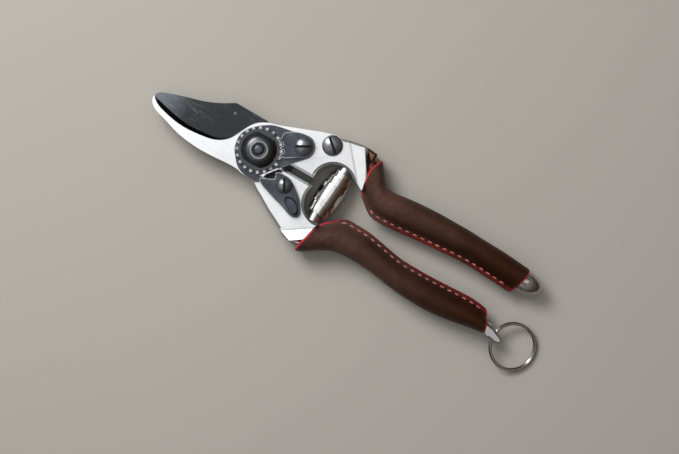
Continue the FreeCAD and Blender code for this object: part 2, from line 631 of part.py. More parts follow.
def nut_boss(body):
    """Round boss over the nut's teeth, domed from its shoulder to its crown."""
    outside = size("nut_boss_radius")
    crown = size("nut_crown_radius")
    wall = size("nut_shoulder") - size("plate_top")
    high = size("nut_top") - size("plate_top")
    bulge = (crown + BULGE_OUT * (outside - crown), wall + BULGE_UP * (high - wall))
    turned(body, "NutBoss", "Dimensions.plate_top", [
        ("lines", (outside, 0.0), (outside, wall)), ("arc", bulge, (crown, high)), ("lines", (0.0, high))])


def pivot_nut():
    """Nut with a toothed flange, a round boss with two spanner flats and a coned mouth."""
    body = new_body("pivot_nut")
    tip = size("nut_tip_radius")
    root = size("nut_root_radius")
    corners = []
    for tooth in range(TEETH):
        turn = tooth * TOOTH_PITCH + TOOTH_PHASE
        corners += [polar(root, turn - TOOTH_ROOT_HALF), polar(tip, turn - TOOTH_TIP_HALF),
                    polar(tip, turn + TOOTH_TIP_HALF), polar(root, turn + TOOTH_ROOT_HALF)]
    flange = polygon(new_sketch(body, "NutTeeth", "Dimensions.plate_top"), corners)
    pad(body, flange, "Dimensions.nut_flange_top - Dimensions.plate_top")
    nut_boss(body)
    reach = tip + 1
    for side in (-1, 1):
        near = side * size("nut_flat_half")
        far = side * reach
        flat = polygon(new_sketch(body, "NutFlat", "Dimensions.nut_top + 1"),
                       [(-reach, near), (reach, near), (reach, far), (-reach, far)])
        cut(body, flat, "Dimensions.nut_top + 1 - Dimensions.nut_flange_top")
    bore = hole(body, "NutBore", OVER_ALL, "Dimensions.bolt_thread_radius + Dimensions.slide_gap", THROUGH)
    mouth = size("bolt_thread_radius") + size("slide_gap")
    dress(body, bore, "Chamfer", "Dimensions.nut_mouth",
          lambda edge: flat_at(edge, size("nut_top")) and edge.BoundBox.XMax < mouth + 0.1)


def lock_plate():
    """Teardrop plate under the nut: it carries the segment and the lobe that the catch holds."""
    body = new_body("lock_plate")
    start = (-10.8, -2.0)
    outline = draw(new_sketch(body, "PlateOutline", "Dimensions.plate_base"), start, [
        ("curve", (-10.4, 3.4), (-5.6, 9.3), (-0.6, 12.6), (4.8, 14.1), (10.9, 15.2), (16.9, 16.1)),
        ("arc", polar(5.2, 20, (16.7, 10.9)), polar(5.2, -42, (16.7, 10.9))),
        ("curve", (16.7, 3.1), (13.2, -0.9), (11.8, -2.9)),
        ("lines", (8.2, -7.5), (7.2, -10.0)),
        ("curve", (7.3, -12.0), (6.8, -12.6), (4.5, -13.2), (0, -12.8), (-4.0, -11.6), (-7.6, -8.2),
         (-10.0, -4.8), start)])
    pad(body, outline, "Dimensions.plate_top - Dimensions.plate_base")
    hole(body, "PlateBore", OVER_ALL, "Dimensions.bolt_thread_radius + Dimensions.slide_gap", THROUGH)
    screw_hole(body, "segment", THROUGH)


def toothed_segment():
    """Arched piece whose teeth sit in the nut's gaps and hold its setting."""
    body = new_body("toothed_segment")
    root = size("segment_root_radius")
    tip = size("segment_tip_radius")
    end = size("segment_end_radius")
    screw = (size("segment_screw_x"), size("segment_screw_y"))
    teeth = []
    for gap in SEGMENT_GAPS:
        turn = (gap + 0.5) * TOOTH_PITCH + TOOTH_PHASE
        teeth += [polar(root, turn - SEGMENT_ROOT_HALF), polar(tip, turn - SEGMENT_TIP_HALF),
                  polar(tip, turn + SEGMENT_TIP_HALF), polar(root, turn + SEGMENT_ROOT_HALF)]
    start = polar(root, SEGMENT_HEEL)
    outline = draw(new_sketch(body, "SegmentOutline", "Dimensions.plate_top"), start, [
        ("lines", *teeth, (5.9, 12.1)),
        ("curve", (8.4, 14.2), (12.4, 16.0), polar(end, 96, screw)),
        ("arc", polar(end, 20, screw), polar(end, -58, screw)),
        ("curve", (15.6, 5.0), (13.2, 3.5), start)])
    pad(body, outline, "Dimensions.segment_high")
    screw_hole(body, "segment", THROUGH)


def slotted_screw(label, prefix, seat, foot, slot_turn):
    """Domed screw with a slot: its head sits on the seat level and its shank ends at the foot."""
    body = new_body(label)
    body.setExpression("Placement.Base.x", f"Dimensions.{prefix}_screw_x")
    body.setExpression("Placement.Base.y", f"Dimensions.{prefix}_screw_y")
    radius = size(prefix + "_head_radius")
    wall = size("screw_wall")
    high = size("screw_head_high")
    rise = high - wall
    ball = (radius ** 2 + rise ** 2) / (2 * rise)
    halfway = (radius / 2, high - ball + math.sqrt(ball ** 2 - radius ** 2 / 4))
    turned(body, label + "Head", seat, [
        ("lines", (radius, 0.0), (radius, wall)), ("arc", halfway, (0.0, high))])
    disc(body, label + "Shank", foot, "Dimensions.screw_shank_radius", f"{seat} - {foot}")
    half_wide = size("screw_slot_wide") / 2
    reach = radius + 1
    turn = Rotation(Vector(0, 0, 1), slot_turn)
    corners = [turn.multVec(Vector(px, py, 0)) for px, py in
               [(-reach, -half_wide), (reach, -half_wide), (reach, half_wide), (-reach, half_wide)]]
    slot = polygon(new_sketch(body, label + "Slot", f"{seat} + Dimensions.screw_head_high"),
                   [(corner.x, corner.y) for corner in corners])
    cut(body, slot, "Dimensions.screw_slot_deep")


def tang_nut():
    """Round flanged nut of the tang screw, on the back of the upper handle's head."""
    body = new_body("tang_nut")
    body.setExpression("Placement.Base.x", "Dimensions.tang_screw_x")
    body.setExpression("Placement.Base.y", "Dimensions.tang_screw_y")
    level = "Dimensions.eye_base - Dimensions.tang_nut_high"
    flange = disc(body, "NutFlange", level, "Dimensions.tang_head_radius", "Dimensions.tang_nut_high")
    base = size("eye_base") - size("tang_nut_high")
    dress(body, flange, "Fillet", "Dimensions.tang_nut_high / 2", lambda edge: flat_at(edge, base))
    reach = size("tang_head_radius") + 1
    half = size("screw_slot_wide") / 2
    slot = polygon(new_sketch(body, "NutSlot", f"{level} + Dimensions.tang_nut_slot"),
                   [(-reach, -half), (reach, -half), (reach, half), (-reach, half)])
    cut(body, slot, THROUGH)


NUB_MIDDLE = (25.4, -14.3)
NUB_BACK = [(20.5, -12.0), (23.5, -11.2), (26.4, -12.3), (28.6, -14.6), (29.2, -16.6)]
NUB_FRONT = [(28.0, -17.5), (26.2, -17.2), (23.4, -15.9), (21.0, -13.7)]


def nub_outline(body, name, rise, share):
    """Teardrop section of the thumb nub, drawn in towards its middle by this share."""
    level = f"Dimensions.catch_base + Dimensions.catch_high + {rise}"
    middle_x, middle_y = NUB_MIDDLE
    back, front = ([(middle_x + share * (px - middle_x), middle_y + share * (py - middle_y))
                    for px, py in side] for side in (NUB_BACK, NUB_FRONT))
    return draw(new_sketch(body, name, level), back[0], [("curve", *back[1:]), ("curve", *front, back[0])])


def thumb_catch():
    """Hooked catch plate on its screw, with a teardrop nub for the thumb."""
    body = new_body("thumb_catch")
    start = (6.5, -10.6)
    plate = draw(new_sketch(body, "CatchOutline", "Dimensions.catch_base"), start, [
        ("curve", (9.0, -9.4), (11.5, -8.3), (12.4, -7.7)),
        ("curve", (12.4, -6.8), (11.5, -5.2)),
        ("curve", (12.5, -4.3), (15.0, -3.9), (18.0, -4.2), (20.0, -5.0), (22.5, -6.6), (25.0, -8.6),
         (27.5, -11.0), (29.5, -14.0), (30.4, -16.2), (30.0, -17.5), (28.5, -18.4), (26.8, -18.5),
         (25.0, -18.0), (20.0, -16.3), (15.0, -15.0), (10.0, -13.4), (7.4, -12.0), start)])
    pad(body, plate, "Dimensions.catch_high")
    rims = [("NubFoot", "0", 1.0), ("NubWaist", "0.65 * Dimensions.nub_high", 0.94),
            ("NubTop", "Dimensions.nub_high", 0.74)]
    loft(body, "ThumbNub", [nub_outline(body, *rim) for rim in rims], ruled=True)
    screw_hole(body, "catch", THROUGH, "Dimensions.screw_shank_radius + Dimensions.slide_gap")


# ---- spring, bumper and key ring ----

SPRING_STEPS = [(4.0, 2.5), (5.1, 5.1), (5.7, 9.1), (5.1, 5.1), (4.0, 2.5)]
SPRING_FOOT = (36.24, -13.65)
SPRING_LEAN = 4.1


def volute_spring():
    """Closed outer shape of the double volute spring between the two pegs."""
    body = new_body("volute_spring")
    profile = new_sketch(body, "SpringProfile", "0", "XZ_Plane")
    bore = size("spring_bore")
    corners = [(bore, 0.0)]
    level = 0.0
    for radius, length in SPRING_STEPS:
        corners += [(radius, level), (radius, level + length)]
        level += length
    corners.append((bore, level))
    polygon(profile, corners)
    revolve(body, "SpringBands", profile)
    stand = Rotation(Vector(0, 0, 1), -SPRING_LEAN) * Rotation(Vector(1, 0, 0), -90)
    body.Placement = Placement(Vector(*SPRING_FOOT, size("grip_middle")), stand)


BUMPER_CLEAR = 0.3
BUMPER_START = 17.2
BUMPER_END = 26.4


def bumper():
    """Rubber buffer that the handles close on."""
    body = new_body("bumper")
    clear = HEAD_GAP_LOWER + BUMPER_CLEAR
    outline = polygon(new_sketch(body, "BumperOutline", "Dimensions.bumper_base"),
                      [(BUMPER_START, clear), (BUMPER_END, clear), (BUMPER_END, HEAD_GAP_UPPER),
                       (BUMPER_START, HEAD_GAP_UPPER)])
    pad(body, outline, "Dimensions.bumper_high")


RING_TURNS = 1.9
RING_FACING = -75.0


def key_ring():
    """Split ring: a flat band wound almost two turns, hung in the tab's hole."""
    ring = doc.addObject("Part::Feature", "key_ring")
    ring.Label = "key_ring"
    radius = size("ring_radius")
    pitch = size("ring_pitch")
    helix = Part.Wire(Part.makeHelix(pitch, pitch * RING_TURNS, radius).Edges)
    wide = size("ring_band_wide") / 2
    high = size("ring_band_high") / 2
    edge = size("ring_band_edge")
    quarter = [(wide, high - edge), (wide - edge, high)]
    top = quarter + [(-across, upward) for across, upward in reversed(quarter)]
    corners = top + [(-across, -upward) for across, upward in top]
    rim = [Vector(radius + across, 0, upward) for across, upward in [*corners, corners[0]]]
    band = Part.makePolygon(rim)
    ring.Shape = helix.makePipeShell([band], True, True)
    centre = Placement(Vector(radius, 0, -pitch * RING_TURNS / 2), Rotation(Vector(0, 0, 1), RING_FACING))
    hang = Placement(Vector(size("ring_hole_x"), size("ring_hole_y"), size("ring_hole_level")),
                     Rotation(Vector(0, 1, 0), size("ring_tilt")))
    ring.Placement = hang * centre
    parts.append(ring)


def build():
    fill_sheet()
    pivot_bolt()
    bolt_clear = "Dimensions.bolt_radius + Dimensions.slide_gap"
    ring_piece("thrust_washer", "Dimensions.bolt_head_high", "Dimensions.thrust_washer_radius", bolt_clear,
               "Dimensions.eye_base - Dimensions.bolt_head_high - Dimensions.slide_gap")
    ring_piece("pivot_bushing", "Dimensions.eye_base", "Dimensions.bushing_radius", bolt_clear,
               "Dimensions.hook_base - Dimensions.eye_base - Dimensions.slide_gap")
    lower_handle()
    cutting_blade()
    blade_rivets()
    upper_handle()
    counter_blade()
    lock_plate()
    pivot_nut()
    toothed_segment()
    slotted_screw("segment_screw", "segment", "Dimensions.plate_top + Dimensions.segment_high",
                  "Dimensions.screw_foot", 29.0)
    slotted_screw("tang_screw", "tang", "Dimensions.plate_base", "Dimensions.eye_base", -40.0)
    tang_nut()
    thumb_catch()
    catch_top = "Dimensions.catch_base + Dimensions.catch_high + Dimensions.slide_gap"
    slotted_screw("catch_screw", "catch", catch_top, "Dimensions.screw_foot", -61.0)
    ring_piece("catch_washer", "Dimensions.plate_base - 2*Dimensions.slide_gap", "Dimensions.washer_radius",
               "Dimensions.screw_shank_radius",
               "Dimensions.catch_base - Dimensions.plate_base + Dimensions.slide_gap",
               (size("catch_screw_x"), size("catch_screw_y")))
    bumper()
    volute_spring()
    sleeve("upper_sleeve", UPPER_GRIP, without_seam(UPPER_GRIP, LOW), UPPER_HEAD_CUT, UPPER_END_CUT, KNOB)
    sleeve("lower_sleeve", LOWER_GRIP, without_seam(LOWER_GRIP[1:], HIGH), LOWER_HEAD_CUT, LOWER_END_CUT)
    stitching("upper_stitching", UPPER_GRIP, LOW, 57.0, 124.0, 19)
    stitching("lower_stitching", LOWER_GRIP, HIGH, 49.0, 120.0, 20)
    key_ring()
    doc.recompute()


def export():
    for item in doc.Objects:
        if "Invalid" in item.State or "Error" in item.State:
            raise RuntimeError(f"{item.Label} did not build: {item.State}")
    os.makedirs("parts", exist_ok=True)
    for part in parts:
        if part.Shape.isNull() or not part.Shape.isValid():
            raise RuntimeError(f"{part.Label} has no valid shape")
        part.Shape.exportStep(f"parts/{part.Label}.step")
        print(f"{part.Label}: {len(part.Shape.Solids)} solid, {part.Shape.Volume:.1f} mm3")


build()
export()
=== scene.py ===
import math

import bmesh
import bpy
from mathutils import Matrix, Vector, noise


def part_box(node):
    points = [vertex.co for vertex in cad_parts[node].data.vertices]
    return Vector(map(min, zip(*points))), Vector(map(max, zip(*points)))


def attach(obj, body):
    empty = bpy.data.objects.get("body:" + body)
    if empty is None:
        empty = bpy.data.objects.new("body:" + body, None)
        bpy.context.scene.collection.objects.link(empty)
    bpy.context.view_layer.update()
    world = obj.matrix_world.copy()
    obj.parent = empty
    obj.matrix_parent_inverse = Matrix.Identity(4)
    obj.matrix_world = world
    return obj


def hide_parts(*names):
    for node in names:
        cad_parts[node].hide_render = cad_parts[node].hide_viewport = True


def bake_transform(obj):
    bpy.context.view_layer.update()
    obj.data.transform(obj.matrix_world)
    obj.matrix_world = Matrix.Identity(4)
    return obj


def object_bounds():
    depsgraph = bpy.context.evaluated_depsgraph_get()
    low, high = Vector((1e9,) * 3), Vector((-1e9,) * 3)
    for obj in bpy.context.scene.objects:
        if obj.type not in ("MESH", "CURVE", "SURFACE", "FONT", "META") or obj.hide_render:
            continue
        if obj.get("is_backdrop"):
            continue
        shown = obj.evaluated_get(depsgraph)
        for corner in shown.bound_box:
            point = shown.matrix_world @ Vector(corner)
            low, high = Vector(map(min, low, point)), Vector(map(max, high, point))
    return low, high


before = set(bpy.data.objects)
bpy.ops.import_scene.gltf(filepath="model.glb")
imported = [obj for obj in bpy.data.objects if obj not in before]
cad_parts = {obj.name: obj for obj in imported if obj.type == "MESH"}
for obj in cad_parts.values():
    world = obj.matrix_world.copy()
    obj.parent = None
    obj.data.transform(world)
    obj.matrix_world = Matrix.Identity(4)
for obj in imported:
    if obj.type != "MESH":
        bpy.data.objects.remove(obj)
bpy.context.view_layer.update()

MM = 0.001
UPPER = "upper_lever"
LOWER = "lower_lever"


# ---- small helpers ----

def blend_curve(points, place):
    """Value at a place on a smooth curve through (place, value) points."""
    places = [point[0] for point in points]
    if place <= places[0]:
        return points[0][1]
    if place >= places[-1]:
        return points[-1][1]
    index = max(i for i, left in enumerate(places) if left <= place)
    left, right = points[index], points[index + 1]
    before = points[max(index - 1, 0)]
    after = points[min(index + 2, len(points) - 1)]
    span = right[0] - left[0]
    share = (place - left[0]) / span
    slope_left = (right[1] - before[1]) / (right[0] - before[0]) * span
    slope_right = (after[1] - left[1]) / (after[0] - left[0]) * span
    square, cube = share ** 2, share ** 3
    return ((2 * cube - 3 * square + 1) * left[1] + (cube - 2 * square + share) * slope_left
            + (3 * square - 2 * cube) * right[1] + (cube - square) * slope_right)


def new_object(name, vertices, faces):
    """A smooth-shaded mesh object in the scene, its normals facing outwards."""
    mesh = bpy.data.meshes.new(name)
    mesh.from_pydata([tuple(vertex) for vertex in vertices], [], faces)
    mesh.validate()
    piece = bpy.data.objects.new(name, mesh)
    bpy.context.scene.collection.objects.link(piece)
    fix = bmesh.new()
    fix.from_mesh(mesh)
    bmesh.ops.recalc_face_normals(fix, faces=fix.faces)
    fix.to_mesh(mesh)
    fix.free()
    mesh.polygons.foreach_set("use_smooth", [True] * len(mesh.polygons))
    return piece


def grid_faces(rows, columns, first=0):
    """Quads of a tube whose points are numbered row by row, each row closed on itself."""
    faces = []
    for row in range(rows - 1):
        for column in range(columns):
            beside = (column + 1) % columns
            start = first + row * columns
            faces.append((start + column, start + beside, start + columns + beside, start + columns + column))
    return faces


# ---- material kit ----

# Cosine between the rounded normal and the true one, on a flat face and on a sharp edge.
FLAT_FACE = 0.985
SHARP_EDGE = 0.86
# The lock plate's straight flank: X and Y shares of the direction square to it, and the Y in mm
# between which a mark beside it fades in, at its far and its near end.
FLANK_SQUARE = (0.788, -0.616)
FLANK_FAR = (-9.9, -9.2)
FLANK_NEAR = (-2.4, -3.2)


class Shader:
    """A Principled material and the few node calls that the materials below share."""

    def __init__(self, name, **sockets):
        self.material = bpy.data.materials.new(name)
        self.material.use_nodes = True
        self.tree = self.material.node_tree
        self.surface = self.tree.nodes["Principled BSDF"]
        for socket, value in sockets.items():
            self.surface.inputs[socket.replace("_", " ")].default_value = value
        self.place = self.node("ShaderNodeTexCoord").outputs["Object"]

    def node(self, kind, **settings):
        made = self.tree.nodes.new(kind)
        for setting, value in settings.items():
            setattr(made, setting, value)
        return made

    def link(self, source, target):
        self.tree.links.new(source, target)

    def stretched(self, scale, turn=0.0):
        """Object coordinates turned about Z and then scaled, so a texture can run along the part."""
        mapping = self.node("ShaderNodeMapping")
        mapping.inputs["Rotation"].default_value = (0, 0, math.radians(turn))
        mapping.inputs["Scale"].default_value = scale
        self.link(self.place, mapping.inputs["Vector"])
        return mapping.outputs["Vector"]

    def noise(self, scale, detail=3.0, rough=0.5, vector=None):
        made = self.node("ShaderNodeTexNoise")
        made.inputs["Scale"].default_value = scale
        made.inputs["Detail"].default_value = detail
        made.inputs["Roughness"].default_value = rough
        self.link(vector or self.place, made.inputs["Vector"])
        return made.outputs["Fac"]

    def cells(self, scale):
        made = self.node("ShaderNodeTexVoronoi")
        made.inputs["Scale"].default_value = scale
        self.link(self.place, made.inputs["Vector"])
        return made.outputs["Distance"]

    def ramp(self, value, low, high, from_value=0.0, to_value=1.0):
        made = self.node("ShaderNodeMapRange")
        made.inputs["From Min"].default_value = low
        made.inputs["From Max"].default_value = high
        made.inputs["To Min"].default_value = from_value
        made.inputs["To Max"].default_value = to_value
        self.link(value, made.inputs["Value"])
        return made.outputs["Result"]

    def fade(self, length, start, full, most=1.0):
        """0 before one length in mm and the most beyond another."""
        return self.ramp(length, start * MM, full * MM, 0.0, most)

    def math(self, operation, first, second):
        made = self.node("ShaderNodeMath", operation=operation)
        for socket, value in zip(made.inputs, (first, second)):
            if isinstance(value, (int, float)):
                socket.default_value = value
            else:
                self.link(value, socket)
        return made.outputs["Value"]

    def both(self, first, second):
        """Product of two masks, or a mask thinned by a number."""
        return self.math("MULTIPLY", first, second)

    def mix(self, share, first, second):
        """Colour between two, where each is a colour or a socket."""
        made = self.node("ShaderNodeMix", data_type="RGBA")
        self.link(share, made.inputs["Factor"])
        for socket, value in zip((made.inputs[6], made.inputs[7]), (first, second)):
            if isinstance(value, tuple):
                socket.default_value = (*value, 1.0)
            else:
                self.link(value, socket)
        return made.outputs[2]

    def bump(self, height, deep, strength, after=None):
        """Normals of a relief this deep in mm, on top of another relief's if there is one."""
        made = self.node("ShaderNodeBump")
        made.inputs["Strength"].default_value = strength
        made.inputs["Distance"].default_value = deep * MM
        self.link(height, made.inputs["Height"])
        if after:
            self.link(after, made.inputs["Normal"])
        return made.outputs["Normal"]

    def axis(self, letter, vector=None):
        split = self.node("ShaderNodeSeparateXYZ")
        self.link(vector or self.place, split.inputs["Vector"])
        return split.outputs[letter]

    def upward(self, normal="True Normal"):
        """How far the surface faces up: 1 on top, -1 underneath."""
        return self.axis("Z", self.node("ShaderNodeNewGeometry").outputs[normal])

    def from_axis(self):
        """Distance from the pivot axis."""
        flat = self.node("ShaderNodeVectorMath", operation="MULTIPLY")
        self.link(self.place, flat.inputs[0])
        flat.inputs[1].default_value = (1, 1, 0)
        length = self.node("ShaderNodeVectorMath", operation="LENGTH")
        self.link(flat.outputs["Vector"], length.inputs[0])
        return length.outputs["Value"]

    def across(self, along_x, along_y):
        """Distance along a level direction, given by its shares of X and Y."""
        return self.math("ADD", self.both(self.axis("X"), along_x), self.both(self.axis("Y"), along_y))

    def beside_flank(self, start, full):
        """1 beyond a line along the lock plate's straight flank, fading in between two distances in mm."""
        along = self.both(self.fade(self.axis("Y"), *FLANK_FAR), self.fade(self.axis("Y"), *FLANK_NEAR))
        return self.both(self.fade(self.across(*FLANK_SQUARE), start, full), along)

    def edges(self, reach):
        """1 on sharp edges and 0 on flat faces, within a reach in mm."""
        rounded = self.node("ShaderNodeBevel", samples=6)
        rounded.inputs["Radius"].default_value = reach * MM
        true = self.node("ShaderNodeNewGeometry").outputs["True Normal"]
        dot = self.node("ShaderNodeVectorMath", operation="DOT_PRODUCT")
        self.link(rounded.outputs["Normal"], dot.inputs[0])
        self.link(true, dot.inputs[1])
        return self.ramp(dot.outputs["Value"], FLAT_FACE, SHARP_EDGE)

    def feed(self, **sources):
        for socket, source in sources.items():
            self.link(source, self.surface.inputs[socket.replace("_", " ")])
        return self.material


# ---- aluminium forgings ----

# Creases between the flat heads and the grips, in mm: shares of X and Y across the line, its level,
# and its lowest and highest Y.
UPPER_CREASE = ((0.762, 0.648), 40.6, 6, 26)
LOWER_CREASE = ((0.566, -0.825), 36.7, -32, -14)
# Fades in mm: from a crease's outside to its line, and in from both its ends.
CREASE_WIDE = (0.7, 0.15)
CREASE_ENDS = 1
# The lower head's facet beyond its crease gets painted shade, toning down its highlight: level where that is
# full, and Y where it starts.
FACET_SHADED = 38.5
FACET_TOP = (-12, -14)
# X in mm between which the painted shade on the heads' rims ends, and the handle ends turn grey.
RIM_SHADE_END = (43, 41)
HANDLE_END = (126, 130)
# Painted reflection of the upper sleeve's brown leather on the upper head, in mm: direction and level of its
# border, its lowest Y and its farthest X.
REFLECTION_ACROSS = (0.894, 0.447)
REFLECTION_BORDER = (47.6, 48.7)
REFLECTION_LOW = (12, 14)
REFLECTION_FAR = (60, 56)


def crease_shade_line(made, crease):
    """1 on the fold line between a head and its grip, where painted shade goes."""
    direction, level, low, high = crease
    away = made.math("ABSOLUTE", made.math("SUBTRACT", made.across(*direction), level * MM), 0)
    length = made.both(made.fade(made.axis("Y"), low, low + CREASE_ENDS),
                       made.fade(made.axis("Y"), high, high - CREASE_ENDS))
    return made.both(made.fade(away, *CREASE_WIDE), length)


def painted_leather_reflection(made):
    """1 where a painted reflection of the upper sleeve's leather browns the head."""
    inside = made.both(made.fade(made.axis("Y"), *REFLECTION_LOW), made.fade(made.axis("X"), *REFLECTION_FAR))
    return made.both(made.fade(made.across(*REFLECTION_ACROSS), *REFLECTION_BORDER), inside)


def forged_aluminium():
    """Tumbled forging: bright, finely pitted and scratched, with painted shade along the rims of the heads.

    It is greyer at the handle ends, and brown beside the upper sleeve, a painted reflection of its leather.
    """
    made = Shader("forged_aluminium", Metallic=1.0)
    cloud = made.noise(60, detail=4)
    grain = made.noise(2600, detail=2)
    scratch = made.noise(240, detail=5, rough=0.7, vector=made.stretched((1, 14, 1), turn=25))
    rough = made.ramp(made.math("ADD", cloud, made.both(scratch, 0.5)), 0.5, 1.05, 0.20, 0.40)
    colour = made.mix(made.ramp(cloud, 0.35, 0.7), (0.61, 0.615, 0.62), (0.73, 0.73, 0.73))
    colour = made.mix(made.fade(made.axis("X"), *HANDLE_END, 0.75), colour, (0.42, 0.395, 0.365))
    # Painted shade: the heads' edges are painted dark, standing for the shadow along their outline.
    rims = made.both(made.edges(0.6), made.fade(made.axis("X"), *RIM_SHADE_END, 0.55))
    colour = made.mix(rims, colour, (0.20, 0.20, 0.20))
    # Painted shade on the lower head's facet beyond its crease, where it faces the key light.
    direction, level, low, high = LOWER_CREASE
    facet = made.both(made.fade(made.across(*direction), level, FACET_SHADED, 0.55),
                      made.fade(made.axis("Y"), *FACET_TOP))
    colour = made.mix(facet, colour, (0.36, 0.36, 0.37))
    # Painted shade: a dark line along each fold between a head and its grip.
    for crease in (UPPER_CREASE, LOWER_CREASE):
        colour = made.mix(made.both(crease_shade_line(made, crease), 0.7), colour, (0.34, 0.345, 0.35))
    # Painted reflection: the upper sleeve's brown leather, mirrored on the head beside it.
    colour = made.mix(painted_leather_reflection(made), colour, (0.16, 0.083, 0.058))
    pits = made.bump(grain, 0.03, 0.5)
    return made.feed(Base_Color=colour, Roughness=rough, Normal=made.bump(scratch, 0.02, 0.35, pits))


# ---- steels ----

NEAR_BLACK = (0.010, 0.010, 0.012)
TURNED_DULL = (0.55, 0.55, 0.56)
TURNED_BRIGHT = (0.72, 0.72, 0.72)
# Distances along the square to the lock plate's flank, in mm: the polished and highlighted flank, then the
# painted shadow in the gap.
FLANK_POLISH_AND_HIGHLIGHT = (10.5, 10.65)
GAP_SHADOW = (11.0, 11.15)
# X in mm between which the blade gets a painted sheen towards its tip, and edges near the nut are worn
# bright.
BLADE_TIP_SHEEN = (-37, -50)
SEGMENT_EDGE = (17.5, 14)
# Z in mm between which the bolt turns from blackened to bright.
BOLT_BRIGHT = (12, 11)
# Radii on the nut in mm: rim of its dark body, painted glints on the tooth tips, and both sides of the
# painted highlight at its thread's mouth.
NUT_BODY = (9.1, 8.8)
NUT_TIP_GLINTS = (9.2, 9.8)
MOUTH_GLINT_OUTSIDE = (3.95, 3.75)
MOUTH_GLINT_INSIDE = (3.05, 3.2)
# Levels over a screw's slot floor, in mm, between which the painted shade in its slot fades in.
PAINTED_SLOT_SHADE = (0.35, 0.15)


def satin_steel():
    """Counter-blade: ground along its length, with a painted dark reflection on the throat's bevel and a
    painted shadow in the catch's gap.
    """
    made = Shader("satin_steel", Metallic=1.0)
    lines = made.noise(90, detail=6, rough=0.75, vector=made.stretched((1, 26, 1), turn=12))
    cloud = made.noise(45)
    upward = made.upward("Normal")
    # Painted dark reflection: faces that slope part way from up, as on the throat's bevel, are painted near
    # black.
    bevel = made.both(made.ramp(upward, 0.25, 0.4), made.ramp(upward, 0.95, 0.8))
    bright = made.mix(made.ramp(cloud, 0.3, 0.7), (0.64, 0.64, 0.64), (0.75, 0.75, 0.75))
    colour = made.mix(bevel, bright, (0.03, 0.03, 0.034))
    # Painted shadow: near black in the gap between the lock plate's flank and the catch.
    colour = made.mix(made.beside_flank(*GAP_SHADOW), colour, NEAR_BLACK)
    rough = made.ramp(lines, 0.3, 0.7, 0.20, 0.36)
    return made.feed(Base_Color=colour, Roughness=rough, Normal=made.bump(lines, 0.03, 0.3))


def coated_blade():
    """Cutting blade: blue-black coating with a painted sheen, lighter towards the tip, and pale rubbed
    streaks across it.
    """
    made = Shader("coated_blade", Metallic=0.75)
    streak = made.noise(130, detail=6, rough=0.8, vector=made.stretched((1, 10, 1), turn=62))
    patch = made.noise(55, detail=4, rough=0.6)
    rubbed = made.both(made.ramp(streak, 0.54, 0.8), made.ramp(patch, 0.42, 0.62))
    dark = made.mix(patch, (0.012, 0.0135, 0.0155), (0.025, 0.028, 0.032))
    # Painted sheen: the coating is painted lighter towards the tip.
    dark = made.mix(made.fade(made.axis("X"), *BLADE_TIP_SHEEN), dark, (0.095, 0.110, 0.126))
    colour = made.mix(rubbed, dark, (0.22, 0.235, 0.25))
    rough = made.ramp(streak, 0.3, 0.75, 0.34, 0.50)
    return made.feed(Base_Color=colour, Roughness=rough, Normal=made.bump(streak, 0.02, 0.4))


def blackened(name, wear=0.34, smooth=0.27):
    """Blued black steel with a light grain, small rubs and edges worn back to the metal.

    Returns the shader with its colour, roughness and normal, for a finish to change and feed.
    """
    made = Shader(name, Metallic=0.85)
    grain = made.noise(1500)
    patch = made.noise(160, detail=5, rough=0.65)
    dark = made.mix(made.ramp(patch, 0.3, 0.6), (0.034, 0.038, 0.046), (0.060, 0.067, 0.078))
    colour = made.mix(made.ramp(patch, 0.60, 0.78), dark, (0.12, 0.13, 0.145))
    worn = made.both(made.edges(0.45), made.ramp(patch, 0.35, 0.6, 0.35, 1.0))
    colour = made.mix(worn, colour, (wear, wear, wear * 1.02))
    rough = made.ramp(patch, 0.3, 0.7, smooth, smooth * 1.5)
    return made, colour, rough, made.bump(grain, 0.03, 0.35)


def blackened_steel():
    """Segment and catch: their edges beside the nut and the lock plate are worn bright."""
    made, colour, rough, normal = blackened("blackened_steel", wear=0.10)
    worn = made.both(made.edges(0.7), made.fade(made.axis("X"), *SEGMENT_EDGE))
    colour = made.mix(worn, colour, (0.58, 0.59, 0.60))
    return made.feed(Base_Color=colour, Roughness=rough, Normal=normal)


def polished_screw(name, slot_level):
    """Screw head: thin blueing over a polished dome, so it glints, and painted shade in its slot."""
    made, colour, rough, normal = blackened(name, smooth=0.21)
    colour = made.mix(made.ramp(made.noise(420, detail=4), 0.35, 0.65),
                      (0.11, 0.115, 0.125), (0.19, 0.195, 0.205))
    # Painted shade: the slot's upward floor is painted near black.
    start, full = PAINTED_SLOT_SHADE
    low = made.fade(made.axis("Z"), slot_level + start, slot_level + full)
    slot_floor_shade = made.both(low, made.ramp(made.upward(), 0.985, 0.995))
    colour = made.mix(slot_floor_shade, colour, (0.006, 0.006, 0.006))
    return made.feed(Base_Color=colour, Roughness=rough, Normal=normal)


def rubbed_and_highlit_plate():
    """Lock plate: its straight flank is polished by the catch, and painted bright as a highlight too."""
    made, colour, rough, normal = blackened("rubbed_and_highlit_plate")
    # Polish and painted highlight: the plate's straight flank is painted bright.
    colour = made.mix(made.beside_flank(*FLANK_POLISH_AND_HIGHLIGHT), colour, (0.72, 0.72, 0.71))
    return made.feed(Base_Color=colour, Roughness=rough, Normal=normal)


